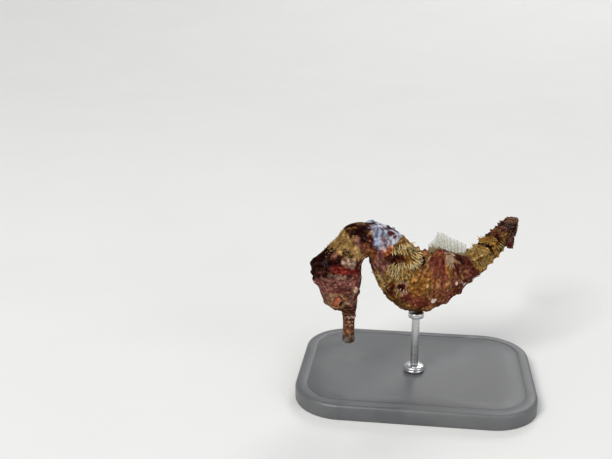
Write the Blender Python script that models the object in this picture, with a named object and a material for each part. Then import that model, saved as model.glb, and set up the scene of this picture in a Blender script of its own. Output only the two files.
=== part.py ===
"""A seahorse as a life-size museum model on a small display stand.

The animal floats level, its neck arched, its snout hanging straight down, and its tail swung away
behind it into a loose curl. Lengths below are in millimetres and angles in degrees; the meshes are
scaled to metres as they are made. The origin is on the floor, under the middle of the stand's base:
+X runs from the head towards the tail, +Y away from the animal's left side, +Z up.

The whole body is one tube round a bent axis that starts at the tip of the snout. `run` is the distance
along that axis. At each run the axis has a frame: ahead (towards the tail), back (dorsal) and flank
(the animal's left). A point of the skin is given by its run and by `turn`, the angle round the axis
from the middle of the back over the left flank. Thin cuts across the tube part it into its nodes.
"""

import math

import bmesh
import bpy
import numpy as np

MM = 0.001
GAP = 0.3  # between neighbouring solids

# Where the snout's tip stands above the stand's base
SNOUT_TIP = (-17.0, -8.0, 14.0)

# Lengths along the axis
MOUTH_END = 1.4
SNOUT_END = 7.7
HEAD_END = 22.4
TRUNK_END = 58.0
TAIL_END = 124.0
TRUNK_RINGS = 11
TAIL_RINGS = 36
FIRST_TAIL_RING = 2.6
RINGS_PER_TAIL_PIECE = 6

# The trunk's lengths: name, first and last ring, finish
TRUNK_PIECES = (
    ("neck", 0, 3, "maroon_skin"),
    ("trunk_front", 3, 6, "tan_skin"),
    ("trunk_middle", 6, 9, "rust_skin"),
    ("trunk_rear", 9, TRUNK_RINGS, "dusk_skin"),
)

# The bend of the axis: run, climb above the horizon, swing from +X towards +Y
POSE = (
    (0, 90, 18),
    (19, 90, 18),
    (22.5, 72, 18),
    (28, 3, 18),
    (32.5, -43, 18.5),
    (37, -47, 20),
    (42, -38, 22),
    (46, -23, 23),
    (50, -2, 26),
    (54, 15, 29),
    (58, 23, 33),
    (64, 26, 41),
    (70, 21, 52),
    (76, 7, 65),
    (82, -7, 77),
    (90, -12, 83),
    (124, -12, 83),
)
CURL_START = 103.0
CURL_RADII = (4.6, 2.0)  # of the axis, where the curl starts and at the tail's tip

# The tube: run, depth from axis to back, depth from axis to belly, half width
GIRTH = (
    (0, 1.2, 1.3, 1.2),
    (0.5, 1.6, 1.6, 1.5),
    (1.4, 1.55, 1.55, 1.5),
    (2.6, 1.45, 1.45, 1.4),
    (6.5, 1.5, 1.5, 1.45),
    (8.4, 1.9, 1.7, 1.75),
    (9.5, 4.6, 1.8, 2.8),
    (11.8, 6.5, 1.9, 3.5),
    (14.6, 7.6, 2.0, 4.2),
    (17.4, 8.9, 2.5, 4.8),
    (20.5, 9.4, 2.6, 4.9),
    (22.4, 7.2, 2.8, 4.2),
    (24.4, 6.1, 3.0, 3.8),
    (26.2, 6.6, 3.2, 3.8),
    (28.4, 5.8, 3.3, 3.8),
    (31, 6.1, 4.1, 4.1),
    (34, 6.4, 5.3, 4.6),
    (38, 6.8, 6.9, 5.2),
    (42, 7.5, 8.2, 5.6),
    (46, 8.5, 8.7, 5.6),
    (50, 9.6, 7.0, 5.2),
    (54, 9.0, 4.8, 4.6),
    (58, 6.3, 3.8, 4.0),
    (61, 3.8, 3.5, 3.5),
    (66, 3.0, 3.1, 3.0),
    (70, 3.3, 2.75, 2.75),
    (74, 3.0, 2.4, 2.5),
    (84, 2.1, 2.1, 2.1),
    (100, 1.6, 1.6, 1.6),
    (124, 0.5, 0.5, 0.5),
)

TAIL_SECTION = (54, 62)  # the trunk's section turns into the tail's between these runs
COLUMNS = 28  # points round the head and trunk
SLIM_COLUMNS = 14  # points round the mouth, snout and tail
MOUTH_SECTIONS = (0.25, 0.8)
SNOUT_SECTIONS = (2.6, 4.6, 6.5, 7.2)
HEAD_SECTIONS = (8.5, 21.7, 15)  # first and last run between the head's flat ends, and their number

# Ridges that run along the body, as turns on its left side; the trunk has one more under the belly
TRUNK_RIDGES = (360 * 3 / COLUMNS, 360 * 7 / COLUMNS, 360 * 11 / COLUMNS)
TAIL_RIDGES = (360 * 4 / COLUMNS, 360 * 10 / COLUMNS)
TRUNK_KNOBS = (0.9, 0.7, 0.4, 0.1)  # size of the knobs on each ridge, the one under the belly last
TAIL_KNOBS = (0.9, 0.5)
RIDGE_SHARPNESS = 0.62
RING_LIFT = 0.3
KNOB_LIFT = 0.75
KNOB_WIDTH = 8.0  # degrees round the body
RINGS_START = (21.4, 28.4)  # ridges and rings come up out of the smooth head between these runs
RING_SIZE = ((22, 0.3), (34, 1), (45, 1), (58, 0.85), (TAIL_END, 0.12))  # share of those lifts, by run

# Bumps of the head: run, turn on either side, height, reach
HEAD_KNOBS = (
    (20.8, 58, 0.9, 1.1),
    (21.3, 88, 0.7, 1.1),
    (14.0, 150, 0.8, 1.0),
    (16.8, 105, 0.5, 4.0),
)
KNOB_GIRTH = 5.0  # the distance from the axis at which their reach is measured round it

EYE_RUN = 12.3
EYE_BACK = 3.9
EYE_FLANK = 2.3
EYE_RADIUS = 2.1
EYE_THICKNESS = 1.5
ORBIT_LIFT = 0.4
ORBIT_RADIUS = 2.6
ORBIT_WIDTH = 0.7

CORONET_RUN = 19.9
CORONET_REACH = (1.7, 22.0)  # along the axis, and round it
CORONET_HEIGHT = 1.0
CORONET_POINTS = 5
POINTS_PER_LOBE = 6
# The coronet's rings, from its foot over the rim into the dish: share of the reach, share of the height
# everywhere, and share of the height added on the lobes
CORONET_RINGS = (
    (0.3, 0, 0),
    (1.0, 0, 0),
    (1.05, 0.25, 0),
    (0.85, 0.55, 0.45),
    (0.55, 0.4, 0),
    (0.2, 0.35, 0),
)

FIN_THICKNESS = 0.5
# The fins on the middle line, with how far the tips of the first and last ray lean to the tail
DORSAL_FIN = dict(start=44.5, end=60.0, height=4.8, rays=19, sweep=(-1.8, 1.8))
ANAL_FIN = dict(start=59.4, end=61.0, height=1.6, rays=4, sweep=(0.2, 1.0))
FIN_ARCH = (0.12, 0.92)  # the part of a half wave that a ridge fin's outline follows
PECTORAL_RUN = 23.8
PECTORAL_TURN = 74.0
PECTORAL_BASE = 2.2
PECTORAL_LENGTH = 2.6
PECTORAL_SPREAD = 52.0
PECTORAL_RAYS = 17
PECTORAL_HEADING = (0.8, 0.6)  # shares of ahead and outward in the way the middle ray points
PECTORAL_STANDOFF = 0.8  # from the skin
PECTORAL_ROUNDNESS = 0.18

BASE_LENGTH = 60.0
BASE_WIDTH = 46.0
BASE_HEIGHT = 4.0
BASE_CORNER = 12.0
BASE_EDGE = 0.8
ROD_RUN = 45.0
ROD_RADIUS = 1.0
PAD_RADIUS = 2.0
PAD_HEIGHT = 1.0
COLLAR_RADIUS = 2.6
COLLAR_HEIGHT = 1.4
ROUND_SIDES = 24
ROD_SIDES = 16
CORNER_STEPS = 6
BELLY_RUNS = (36, 54, 181)  # where the pad may touch: first and last run, and how many are measured
BELLY_TURNS = (90, 270, 181)
SMOOTH_ANGLE = 40.0

# Name: base colour, metallic, roughness
COLOURS = {
    "maroon_skin": ((0.16, 0.045, 0.035), 0.0, 0.6),
    "rust_skin": ((0.36, 0.13, 0.06), 0.0, 0.6),
    "tan_skin": ((0.45, 0.27, 0.13), 0.0, 0.6),
    "dusk_skin": ((0.14, 0.06, 0.06), 0.0, 0.6),
    "eye": ((0.8, 0.22, 0.06), 0.0, 0.1),
    "fin": ((0.55, 0.42, 0.28), 0.0, 0.4),
    "stand_paint": ((0.12, 0.12, 0.12), 0.0, 0.5),
    "stand_steel": ((0.6, 0.6, 0.6), 1.0, 0.3),
}


def column(table, k):
    return [row[k] for row in table]


def glide(at, stops, values):
    """A cubic curve through the stops that keeps level where they turn, so it never overshoots."""
    stops, values = np.asarray(stops, float), np.asarray(values, float)
    step = np.diff(stops)
    slope = np.diff(values) / step
    same_way = slope[:-1] * slope[1:] > 0
    before, after = np.where(same_way, slope[:-1], 1), np.where(same_way, slope[1:], 1)
    left, right = 2 * step[1:] + step[:-1], step[1:] + 2 * step[:-1]
    lean = np.zeros(len(stops))
    lean[0], lean[-1] = slope[0], slope[-1]
    lean[1:-1] = np.where(same_way, (left + right) / (left / before + right / after), 0)
    at = np.clip(at, stops[0], stops[-1])
    i = np.clip(np.searchsorted(stops, at, side="right") - 1, 0, len(step) - 1)
    t = (at - stops[i]) / step[i]
    return (
        values[i] * (1 + 2 * t) * (1 - t) ** 2
        + lean[i] * step[i] * t * (1 - t) ** 2
        + values[i + 1] * t * t * (3 - 2 * t)
        - lean[i + 1] * step[i] * t * t * (1 - t)
    )


def ease(at, low, high):
    """0 below low, 1 above high, smooth between."""
    t = np.clip((np.asarray(at, float) - low) / (high - low), 0, 1)
    return t * t * (3 - 2 * t)


def frames(run):
    """Unit vectors ahead, to the back and to the flank. In the curl the radius shrinks evenly."""
    run = np.asarray(run, float)
    wide, tight = CURL_RADII
    shrink = (wide - tight) / (TAIL_END - CURL_START)
    radius = wide - shrink * np.clip(run - CURL_START, 0, TAIL_END - CURL_START)
    climb = np.radians(glide(run, column(POSE, 0), column(POSE, 1))) - np.log(wide / radius) / shrink
    swing = np.radians(glide(run, column(POSE, 0), column(POSE, 2)))
    level = np.stack([np.cos(swing), np.sin(swing), 0 * swing], -1)
    up = np.array([0, 0, 1.0])
    ahead = np.cos(climb)[..., None] * level + np.sin(climb)[..., None] * up
    back = np.cos(climb)[..., None] * up - np.sin(climb)[..., None] * level
    return ahead, back, np.cross(ahead, back)


def axis_points():
    """The axis, added up from the headings halfway along each short step."""
    ahead, _, _ = frames(AXIS_RUNS[:-1] + AXIS_STEP / 2)
    return SNOUT_TIP + np.concatenate([np.zeros((1, 3)), np.cumsum(ahead * AXIS_STEP, 0)])


AXIS_STEP = 0.05
AXIS_RUNS = np.arange(round(TAIL_END / AXIS_STEP) + 1) * AXIS_STEP
AXIS_POINTS = axis_points()


def axis(run):
    return np.stack([np.interp(run, AXIS_RUNS, AXIS_POINTS[:, k]) for k in range(3)], -1)


def ring_number(run):
    """Counts the bony rings from the head; it is whole on each ring's raised edge."""
    run = np.asarray(run, float)
    trunk = (run - HEAD_END) / (TRUNK_END - HEAD_END) * TRUNK_RINGS
    shrink = (FIRST_TAIL_RING - (TAIL_END - TRUNK_END) / TAIL_RINGS) / TAIL_RINGS
    past = np.clip(run - TRUNK_END, 0, TAIL_END - TRUNK_END)
    tail = (FIRST_TAIL_RING - np.sqrt(FIRST_TAIL_RING**2 - 4 * shrink * past)) / (2 * shrink)
    return np.where(run < TRUNK_END, trunk, TRUNK_RINGS + tail)


def ring_run(number):
    """The run of a ring's raised edge, the inverse of ring_number."""
    shrink = (FIRST_TAIL_RING - (TAIL_END - TRUNK_END) / TAIL_RINGS) / TAIL_RINGS
    past = np.asarray(number, float) - TRUNK_RINGS
    trunk = TRUNK_END + past / TRUNK_RINGS * (TRUNK_END - HEAD_END)
    return np.where(past < 0, trunk, TRUNK_END + FIRST_TAIL_RING * past - shrink * past**2)


def chord(turn, corners):
    """How far the polygon with these corners lies inside the unit circle, by angle."""
    corners = np.asarray(corners, float)
    i = np.clip(np.searchsorted(corners, turn, side="right") - 1, 0, len(corners) - 2)
    middle = (corners[i] + corners[i + 1]) / 2
    half = (corners[i + 1] - corners[i]) / 2
    return np.cos(np.radians(half)) / np.cos(np.radians(turn - middle))


def knob_share(turn, ridges, sizes):
    """The knobs' size on a ridge, falling to 0 beside it."""
    return sum(size * np.exp(-(((turn - ridge) / KNOB_WIDTH) ** 2)) for ridge, size in zip(ridges, sizes))


def section(run, turn):
    """Height over the axis and distance to the flank of a point of the skin."""
    away = np.abs((turn + 180) % 360 - 180)
    a, b = TRUNK_RIDGES[0], TAIL_RIDGES[0]
    tail_like = ease(run, *TAIL_SECTION)
    trunk = chord(away, (-a, *TRUNK_RIDGES, 180))
    tail = chord(away, (-b, *TAIL_RIDGES, 360 - TAIL_RIDGES[1]))
    polygon = trunk + (tail - trunk) * tail_like
    ringed = ease(run, *RINGS_START)
    rounding = 1 + (polygon - 1) * RIDGE_SHARPNESS * ringed
    edge = (0.5 + 0.5 * np.cos(2 * np.pi * ring_number(run))) ** 2 * ringed
    on_trunk = knob_share(away, (*TRUNK_RIDGES, 180), TRUNK_KNOBS) * (1 - tail_like)
    on_tail = knob_share(away, TAIL_RIDGES, TAIL_KNOBS) * tail_like
    size = glide(run, column(RING_SIZE, 0), column(RING_SIZE, 1))
    lift = edge * size * (RING_LIFT + KNOB_LIFT * (on_trunk + on_tail))
    for knob_run, knob_turn, height, reach in HEAD_KNOBS:
        round_it = np.radians(away - knob_turn) * KNOB_GIRTH
        lift = lift + height * np.exp(-((run - knob_run) ** 2 + round_it**2) / reach**2)
    up, out = np.cos(np.radians(turn)), np.sin(np.radians(turn))
    back = glide(run, column(GIRTH, 0), column(GIRTH, 1))
    belly = glide(run, column(GIRTH, 0), column(GIRTH, 2))
    wide = glide(run, column(GIRTH, 0), column(GIRTH, 3))
    deep = np.where(up > 0, back, belly)
    height, side = up * deep * rounding, out * wide * rounding
    from_eye = np.hypot(run - EYE_RUN, height - EYE_BACK)
    lift = lift + ORBIT_LIFT * np.exp(-(((from_eye - ORBIT_RADIUS) / ORBIT_WIDTH) ** 2))
    return height + up * lift, side + out * lift


def skin(run, turn):
    """Points of the body's surface."""
    run, turn = np.broadcast_arrays(np.asarray(run, float), np.asarray(turn, float))
    _, back, flank = frames(run)
    height, side = section(run, turn)
    return axis(run) + height[..., None] * back + side[..., None] * flank


def crest(run, turn):
    """Points of the straight lines that join the raised edges of neighbouring rings."""
    number = ring_number(run)
    before = np.floor(number)
    share = (number - before)[:, None]
    return skin(ring_run(before), turn) * (1 - share) + skin(ring_run(before + 1), turn) * share


def outward(run, turn):
    """Unit normals of the body's surface."""
    along = skin(run + 0.2, turn) - skin(run - 0.2, turn)
    across = skin(run, turn + 2) - skin(run, turn - 2)
    normal = np.cross(across, along)
    return normal / np.linalg.norm(normal, axis=-1, keepdims=True)


def material(name):
    found = bpy.data.materials.get(name)
    if found:
        return found
    colour, metallic, roughness = COLOURS[name]
    made = bpy.data.materials.new(name)
    made.use_nodes = True
    shader = made.node_tree.nodes["Principled BSDF"]
    shader.inputs["Base Color"].default_value = (*colour, 1)
    shader.inputs["Metallic"].default_value = metallic
    shader.inputs["Roughness"].default_value = roughness
    return made


def node(name, bm, finish):
    """Puts a bmesh in millimetres into the scene as one named object in metres."""
    bm.normal_update()
    bmesh.ops.recalc_face_normals(bm, faces=bm.faces)
    bmesh.ops.scale(bm, vec=(MM, MM, MM), verts=bm.verts)
    mesh = bpy.data.meshes.new(name)
    bm.to_mesh(mesh)
    bm.free()
    mesh.shade_smooth()
    mesh.set_sharp_from_angle(angle=math.radians(SMOOTH_ANGLE))
    mesh.materials.append(material(finish))
    made = bpy.data.objects.new(name, mesh)
    bpy.context.scene.collection.objects.link(made)
    return made


def loft(rings):
    """A closed bmesh through rings of points, given as an array of ring, point and coordinate."""
    bm = bmesh.new()
    loops = [[bm.verts.new(point) for point in ring] for ring in rings]
    for near, far in zip(loops, loops[1:]):
        for k in range(len(near)):
            after = (k + 1) % len(near)
            bm.faces.new((near[k], near[after], far[after], far[k]))
    bm.faces.new(loops[0])
    bm.faces.new(loops[-1])
    return bm


def length_of_body(name, runs, columns, finish):
    """One stretch of the tube, between flat cuts across it."""
    turns = np.arange(columns) * 360 / columns
    return node(name, loft(skin(np.asarray(runs)[:, None], turns)), finish)


def ringed_runs(first, last):
    """Runs on and halfway between the raised edges of the rings from first to last."""
    runs = ring_run(np.arange(2 * first, 2 * last + 1) / 2)
    runs[0] += GAP / 2
    runs[-1] -= GAP / 2
    return runs


def ellipsoid(centre, axes, radii, segments=20, rings=12):
    """A closed bmesh ellipsoid with these unit axes; its poles are on the last one."""
    bm = bmesh.new()
    bmesh.ops.create_uvsphere(bm, u_segments=segments, v_segments=rings, radius=1)
    for vert in bm.verts:
        vert.co = sum((np.asarray(a) * r * c for a, r, c in zip(axes, radii, vert.co)), np.asarray(centre))
    return bm


def eye_place(side):
    _, back, flank = frames(EYE_RUN)
    centre = axis(EYE_RUN) + EYE_BACK * back + side * EYE_FLANK * flank
    return centre, frames(EYE_RUN)


def make_eye(name, side):
    centre, axes = eye_place(side)
    node(name, ellipsoid(centre, axes, (EYE_RADIUS, EYE_RADIUS, EYE_THICKNESS)), "eye")


def cut_socket(head, side):
    centre, axes = eye_place(side)
    radii = (EYE_RADIUS + GAP, EYE_RADIUS + GAP, EYE_THICKNESS + GAP)
    cutter = node("socket_cutter", ellipsoid(centre, axes, radii), "eye")
    cutter.hide_render = True
    cutter.display_type = "WIRE"
    cut = head.modifiers.new("socket", "BOOLEAN")
    cut.operation = "DIFFERENCE"
    cut.object = cutter


def make_head():
    """The head, cut off flat at the snout and at the nape, with a socket on each side."""
    runs = np.concatenate([[SNOUT_END + GAP], np.linspace(*HEAD_SECTIONS), [HEAD_END - GAP / 2]])
    head = length_of_body("head", runs, COLUMNS, "maroon_skin")
    cut_socket(head, 1)
    cut_socket(head, -1)


def make_coronet():
    """A low crown on the back of the head: a dished patch over the skin with a lobed rim."""
    points = CORONET_POINTS * POINTS_PER_LOBE
    around = np.arange(points) * 2 * np.pi / points
    lobes = 0.5 + 0.5 * np.cos(CORONET_POINTS * around)
    reach_run, reach_turn = CORONET_REACH
    rings = []
    for share, height, lobe_height in CORONET_RINGS:
        run = CORONET_RUN + share * reach_run * np.cos(around)
        turn = share * reach_turn * np.sin(around)
        lift = GAP + CORONET_HEIGHT * (height + lobe_height * lobes)
        rings.append(skin(run, turn) + lift[:, None] * outward(run, turn))
    node("coronet", loft(np.array(rings)), "maroon_skin")


def fan(name, feet, tips, side, finish):
    """A thin fin between a line of feet and a line of tips, thickened to both sides."""
    feet, tips, side = np.asarray(feet), np.asarray(tips), np.asarray(side) * FIN_THICKNESS / 2
    rings = [[f + s, t + s, t - s, f - s] for f, t, s in zip(feet, tips, side)]
    node(name, loft(np.array(rings)), finish)


def make_ridge_fin(name, shape, turn):
    """A fin that stands on the middle line, its rays spread like a fan."""
    count = shape["rays"]
    runs = np.linspace(shape["start"], shape["end"], count)
    ahead, back, flank = frames(runs)
    upright = back if turn == 0 else -back
    rise = shape["height"] * (0.5 + 0.5 * np.sin(np.pi * np.linspace(*FIN_ARCH, count))) - GAP
    feet = crest(runs, turn) + upright * GAP
    sweep = np.linspace(*shape["sweep"], count)
    tips = feet + upright * rise[:, None] + ahead * sweep[:, None]
    fan(name, feet, tips, flank, "fin")


def make_pectoral_fin(name, side):
    """A small fan behind the gill cover, hinged on an upright base and spread towards the tail."""
    turn = side * PECTORAL_TURN
    ahead, back, _ = frames(PECTORAL_RUN)
    normal = outward(np.array(PECTORAL_RUN), np.array(turn))
    root = skin(np.array(PECTORAL_RUN), np.array(turn)) + normal * PECTORAL_STANDOFF
    heading = PECTORAL_HEADING[0] * ahead + PECTORAL_HEADING[1] * normal
    angles = np.radians(np.linspace(-PECTORAL_SPREAD, PECTORAL_SPREAD, PECTORAL_RAYS))
    rays = np.cos(angles)[:, None] * heading + np.sin(angles)[:, None] * back
    feet = root + back * np.linspace(-PECTORAL_BASE / 2, PECTORAL_BASE / 2, PECTORAL_RAYS)[:, None]
    reach = PECTORAL_LENGTH * (1 - PECTORAL_ROUNDNESS + PECTORAL_ROUNDNESS * np.cos(2 * angles))
    tips = feet + rays * reach[:, None]
    fan(name, feet, tips, np.tile(np.cross(back, heading), (PECTORAL_RAYS, 1)), "fin")


def disc(name, centre, radius, bottom, top, finish, sides=ROUND_SIDES):
    """An upright cylinder."""
    bm = bmesh.new()
    bmesh.ops.create_cone(
        bm, cap_ends=True, segments=sides, radius1=radius, radius2=radius, depth=top - bottom
    )
    bmesh.ops.translate(bm, vec=(*centre, (top + bottom) / 2), verts=bm.verts)
    node(name, bm, finish)


def make_base():
    """A flat rounded plate with a softened rim round its top."""
    corners = []
    for quarter in range(4):
        middle = math.radians(45 + 90 * quarter)
        x = math.copysign(BASE_LENGTH / 2 - BASE_CORNER, math.cos(middle))
        y = math.copysign(BASE_WIDTH / 2 - BASE_CORNER, math.sin(middle))
        corners += [
            (x + BASE_CORNER * math.cos(a), y + BASE_CORNER * math.sin(a))
            for a in np.radians(np.linspace(90 * quarter, 90 * (quarter + 1), CORNER_STEPS + 1))
        ]
    outline = np.array(corners)
    shrink = 1 - BASE_EDGE / np.abs(outline).max(axis=0)
    levels = ((outline, 0), (outline, BASE_HEIGHT - BASE_EDGE), (outline * shrink, BASE_HEIGHT))
    rings = [np.column_stack([ring, np.full(len(ring), z)]) for ring, z in levels]
    node("stand_base", loft(np.array(rings)), "stand_paint")


def belly_over(centre, radius):
    """The lowest height of the trunk's underside over a round patch of floor."""
    points = skin(np.linspace(*BELLY_RUNS)[:, None], np.linspace(*BELLY_TURNS)).reshape(-1, 3)
    near = np.linalg.norm(points[:, :2] - centre, axis=1) < radius
    return points[near, 2].min()


def make_rod():
    """One upright rod from a collar on the base to a round pad under the trunk."""
    centre = axis(ROD_RUN)[:2]
    pad_top = belly_over(centre, PAD_RADIUS + GAP) - GAP
    pad_bottom = pad_top - PAD_HEIGHT
    collar_top = BASE_HEIGHT + GAP + COLLAR_HEIGHT
    disc("stand_pad", centre, PAD_RADIUS, pad_bottom, pad_top, "stand_steel")
    disc("stand_collar", centre, COLLAR_RADIUS, BASE_HEIGHT + GAP, collar_top, "stand_steel")
    disc("stand_rod", centre, ROD_RADIUS, collar_top + GAP, pad_bottom - GAP, "stand_steel", ROD_SIDES)


def make_body():
    """The tube from mouth to tail tip, in its lengths."""
    mouth = [0, *MOUTH_SECTIONS, MOUTH_END - GAP / 2]
    snout = [MOUTH_END + GAP / 2, *SNOUT_SECTIONS, SNOUT_END]
    length_of_body("mouth", mouth, SLIM_COLUMNS, "tan_skin")
    length_of_body("snout", snout, SLIM_COLUMNS, "tan_skin")
    make_head()
    for name, first, last, finish in TRUNK_PIECES:
        length_of_body(name, ringed_runs(first, last), COLUMNS, finish)
    for piece in range(TAIL_RINGS // RINGS_PER_TAIL_PIECE):
        first = TRUNK_RINGS + piece * RINGS_PER_TAIL_PIECE
        runs = ringed_runs(first, first + RINGS_PER_TAIL_PIECE)
        finish = "tan_skin" if piece == 0 else "dusk_skin"
        length_of_body(f"tail_{piece + 1}", runs, SLIM_COLUMNS, finish)


def clear_scene():
    for old in list(bpy.data.objects):
        bpy.data.objects.remove(old, do_unlink=True)


def main():
    clear_scene()
    make_body()
    make_coronet()
    make_eye("eye_left", 1)
    make_eye("eye_right", -1)
    make_ridge_fin("dorsal_fin", DORSAL_FIN, 0)
    make_ridge_fin("anal_fin", ANAL_FIN, 180)
    make_pectoral_fin("pectoral_fin_left", 1)
    make_pectoral_fin("pectoral_fin_right", -1)
    make_base()
    make_rod()


main()
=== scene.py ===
"""The looks of a life-size seahorse model: one skin, eyes, fins, skin filaments and a display stand.

Lengths are millimetres and angles degrees until mesh_piece turns them into metres. The whole body is one
tube round a bent axis that starts at the snout's tip. `run` is the distance along the axis and `turn`
the angle round it, from the middle of the back over the animal's left flank. At each run the axis has
three unit vectors: ahead (to the tail), back and flank (the animal's left).
"""

import math

import bpy
import numpy as np
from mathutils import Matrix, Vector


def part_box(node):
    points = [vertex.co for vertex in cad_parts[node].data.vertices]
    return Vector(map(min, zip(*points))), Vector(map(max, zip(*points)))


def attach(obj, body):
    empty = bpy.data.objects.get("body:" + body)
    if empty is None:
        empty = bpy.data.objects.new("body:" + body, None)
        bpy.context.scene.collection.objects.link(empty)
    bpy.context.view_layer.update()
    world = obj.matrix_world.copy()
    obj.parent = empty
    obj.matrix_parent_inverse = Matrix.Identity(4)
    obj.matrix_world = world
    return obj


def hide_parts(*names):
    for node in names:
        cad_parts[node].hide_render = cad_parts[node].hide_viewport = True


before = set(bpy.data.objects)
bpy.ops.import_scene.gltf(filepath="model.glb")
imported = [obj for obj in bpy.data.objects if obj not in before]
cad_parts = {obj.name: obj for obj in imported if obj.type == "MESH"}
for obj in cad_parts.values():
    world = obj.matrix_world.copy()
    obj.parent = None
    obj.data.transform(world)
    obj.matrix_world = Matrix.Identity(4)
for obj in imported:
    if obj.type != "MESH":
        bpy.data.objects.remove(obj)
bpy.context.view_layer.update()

MM = 0.001

# The body, as in the solids
SNOUT_TIP = (-17.0, -8.0, 14.0)
SNOUT_END = 7.7
HEAD_END = 22.4
TRUNK_END = 58.0
TAIL_END = 124.0
TRUNK_RINGS = 11
TAIL_RINGS = 36
FIRST_TAIL_RING = 2.6
TAIL_STARTS = (54.0, 62.0)  # the trunk's section turns into the tail's between these runs

# The bend of the axis: run, climb above the horizon, swing from +X towards +Y
POSE = (
    (0, 90, 18), (19, 90, 18), (22.5, 72, 18), (28, 3, 18), (32.5, -43, 18.5), (37, -47, 20),
    (42, -38, 22), (46, -23, 23), (50, -2, 26), (54, 15, 29), (58, 23, 33), (64, 26, 41), (70, 21, 52),
    (76, 7, 65), (82, -7, 77), (90, -12, 83), (124, -12, 83),
)
CURL_START = 103.0
CURL_RADII = (4.6, 2.0)

# The tube: run, depth from axis to back, depth from axis to belly, half width
GIRTH = (
    (0, 1.2, 1.3, 1.2), (0.5, 1.6, 1.6, 1.5), (1.4, 1.55, 1.55, 1.5), (2.6, 1.45, 1.45, 1.4),
    (6.5, 1.5, 1.5, 1.45), (8.4, 1.9, 1.7, 1.75), (9.5, 4.6, 1.8, 2.8), (11.8, 6.5, 1.9, 3.5),
    (14.6, 7.6, 2, 4.2), (17.4, 8.9, 2.5, 4.8), (20.5, 9.4, 2.6, 4.9), (22.4, 7.2, 2.8, 4.2),
    (24.4, 6.1, 3, 3.8), (26.2, 6.6, 3.2, 3.8), (28.4, 5.8, 3.3, 3.8), (31, 6.1, 4.1, 4.1),
    (34, 6.4, 5.3, 4.6), (38, 6.8, 6.9, 5.2), (42, 7.5, 8.2, 5.6), (46, 8.5, 8.7, 5.6),
    (50, 9.6, 7, 5.2), (54, 9, 4.8, 4.6), (58, 6.3, 3.8, 4), (61, 3.8, 3.5, 3.5), (66, 3, 3.1, 3),
    (70, 3.3, 2.75, 2.75), (74, 3, 2.4, 2.5), (84, 2.1, 2.1, 2.1), (100, 1.6, 1.6, 1.6),
    (124, 0.5, 0.5, 0.5),
)

# Ridges along the body, by turn, and the size of their knobs; the trunk's last one is under the belly
TRUNK_RIDGES = (38.6, 90.0, 141.4, 180.0)
TRUNK_KNOBS = (0.9, 0.7, 0.4, 0.1)
TAIL_RIDGES = (51.4, 128.6)
TAIL_KNOBS = (0.9, 0.5)
RIDGE_SHARPNESS = 0.62
RING_LIFT = 0.2
KNOB_LIFT = 0.85
RING_SIZE = ((22, 0.3), (34, 1), (45, 1), (58, 0.85), (TAIL_END, 0.12))
WART = 0.85  # spacing of the small warts between the knobs
WART_SEED = 31

# Bumps of the head, nape and tail: run, turn on either side, height, reach
BUMPS = (
    (20.8, 58, 0.5, 1), (21.3, 88, 0.5, 1), (22.4, 44, 0.7, 0.6), (23.6, 63, 0.7, 0.7),
    (22.4, 71, 0.6, 0.6), (22.5, 87, 0.6, 0.6), (26, 58, 0.6, 0.7), (15.8, 100, 0.8, 0.7),
    (14, 150, 0.6, 0.9), (12.1, 118, 0.6, 0.5), (7.2, 140, 0.35, 0.5), (3.6, 40, 0.15, 0.5),
    (14.6, 34, 0.6, 0.6), (10.9, 2, 0.5, 0.7), (16.9, 8, 0.5, 0.9), (70.2, 12, 0.8, 1),
    (72.8, 18, 0.7, 0.9), (68.2, 6, 0.5, 0.8),
)

EYE_RUN = 12.3
EYE_BACK = 3.9  # from the axis to the eye's centre, towards the back
EYE_FLANK = 2.1  # and towards the flank
EYEBALL = 1.9
LID_OPENING = (1.1, 1.65)
LID_TURN = 14.0  # how far the lids face the throat, away from straight sideways
GAZE_TURN = 34.0
GAZE_DIP = 16.0  # how far the eye looks towards the mouth
PUPIL = 0.62
IRIS_STREAKS = 23
CORNEA_LIFT = 0.04
CORNEA_BULGE = 0.12
LID_SHELL = EYEBALL + 0.28
LID_JOIN = 0.78 * LID_SHELL  # distance from the lids' axis where their ball turns into a cone

# The gill cover, by run and height over the axis, and the pore behind it, by run and turn
GILL_MIDDLE = (17.3, 0.7)
GILL_REACH = (3.7, 3.3)
GILL_RIDGES_FROM = (13.0, 0.9)
GILL_RIDGES = 26  # in a whole circle
GILL_PORE = (21.5, 50)

CORONET_RUN = 19.9
CORONET_REACH = (1.7, 22.0)
CORONET_HEIGHT = 0.6
CORONET_POINTS = 5

DORSAL_FIN = dict(start=44.5, end=60.0, height=4.8, rays=19, sweep=(-1.8, 1.8), turn=0)
ANAL_FIN = dict(start=59.4, end=61.0, height=1.6, rays=4, sweep=(0.2, 1.0), turn=180)
RAY_STEPS = 8  # columns of a fin's grid from ray to ray
PECTORAL_RUN = 23.8
PECTORAL_TURN = 74.0
PECTORAL_BASE = 2.2
PECTORAL_LENGTH = 2.6
PECTORAL_SPREAD = 52.0
PECTORAL_RAYS = 17

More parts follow.
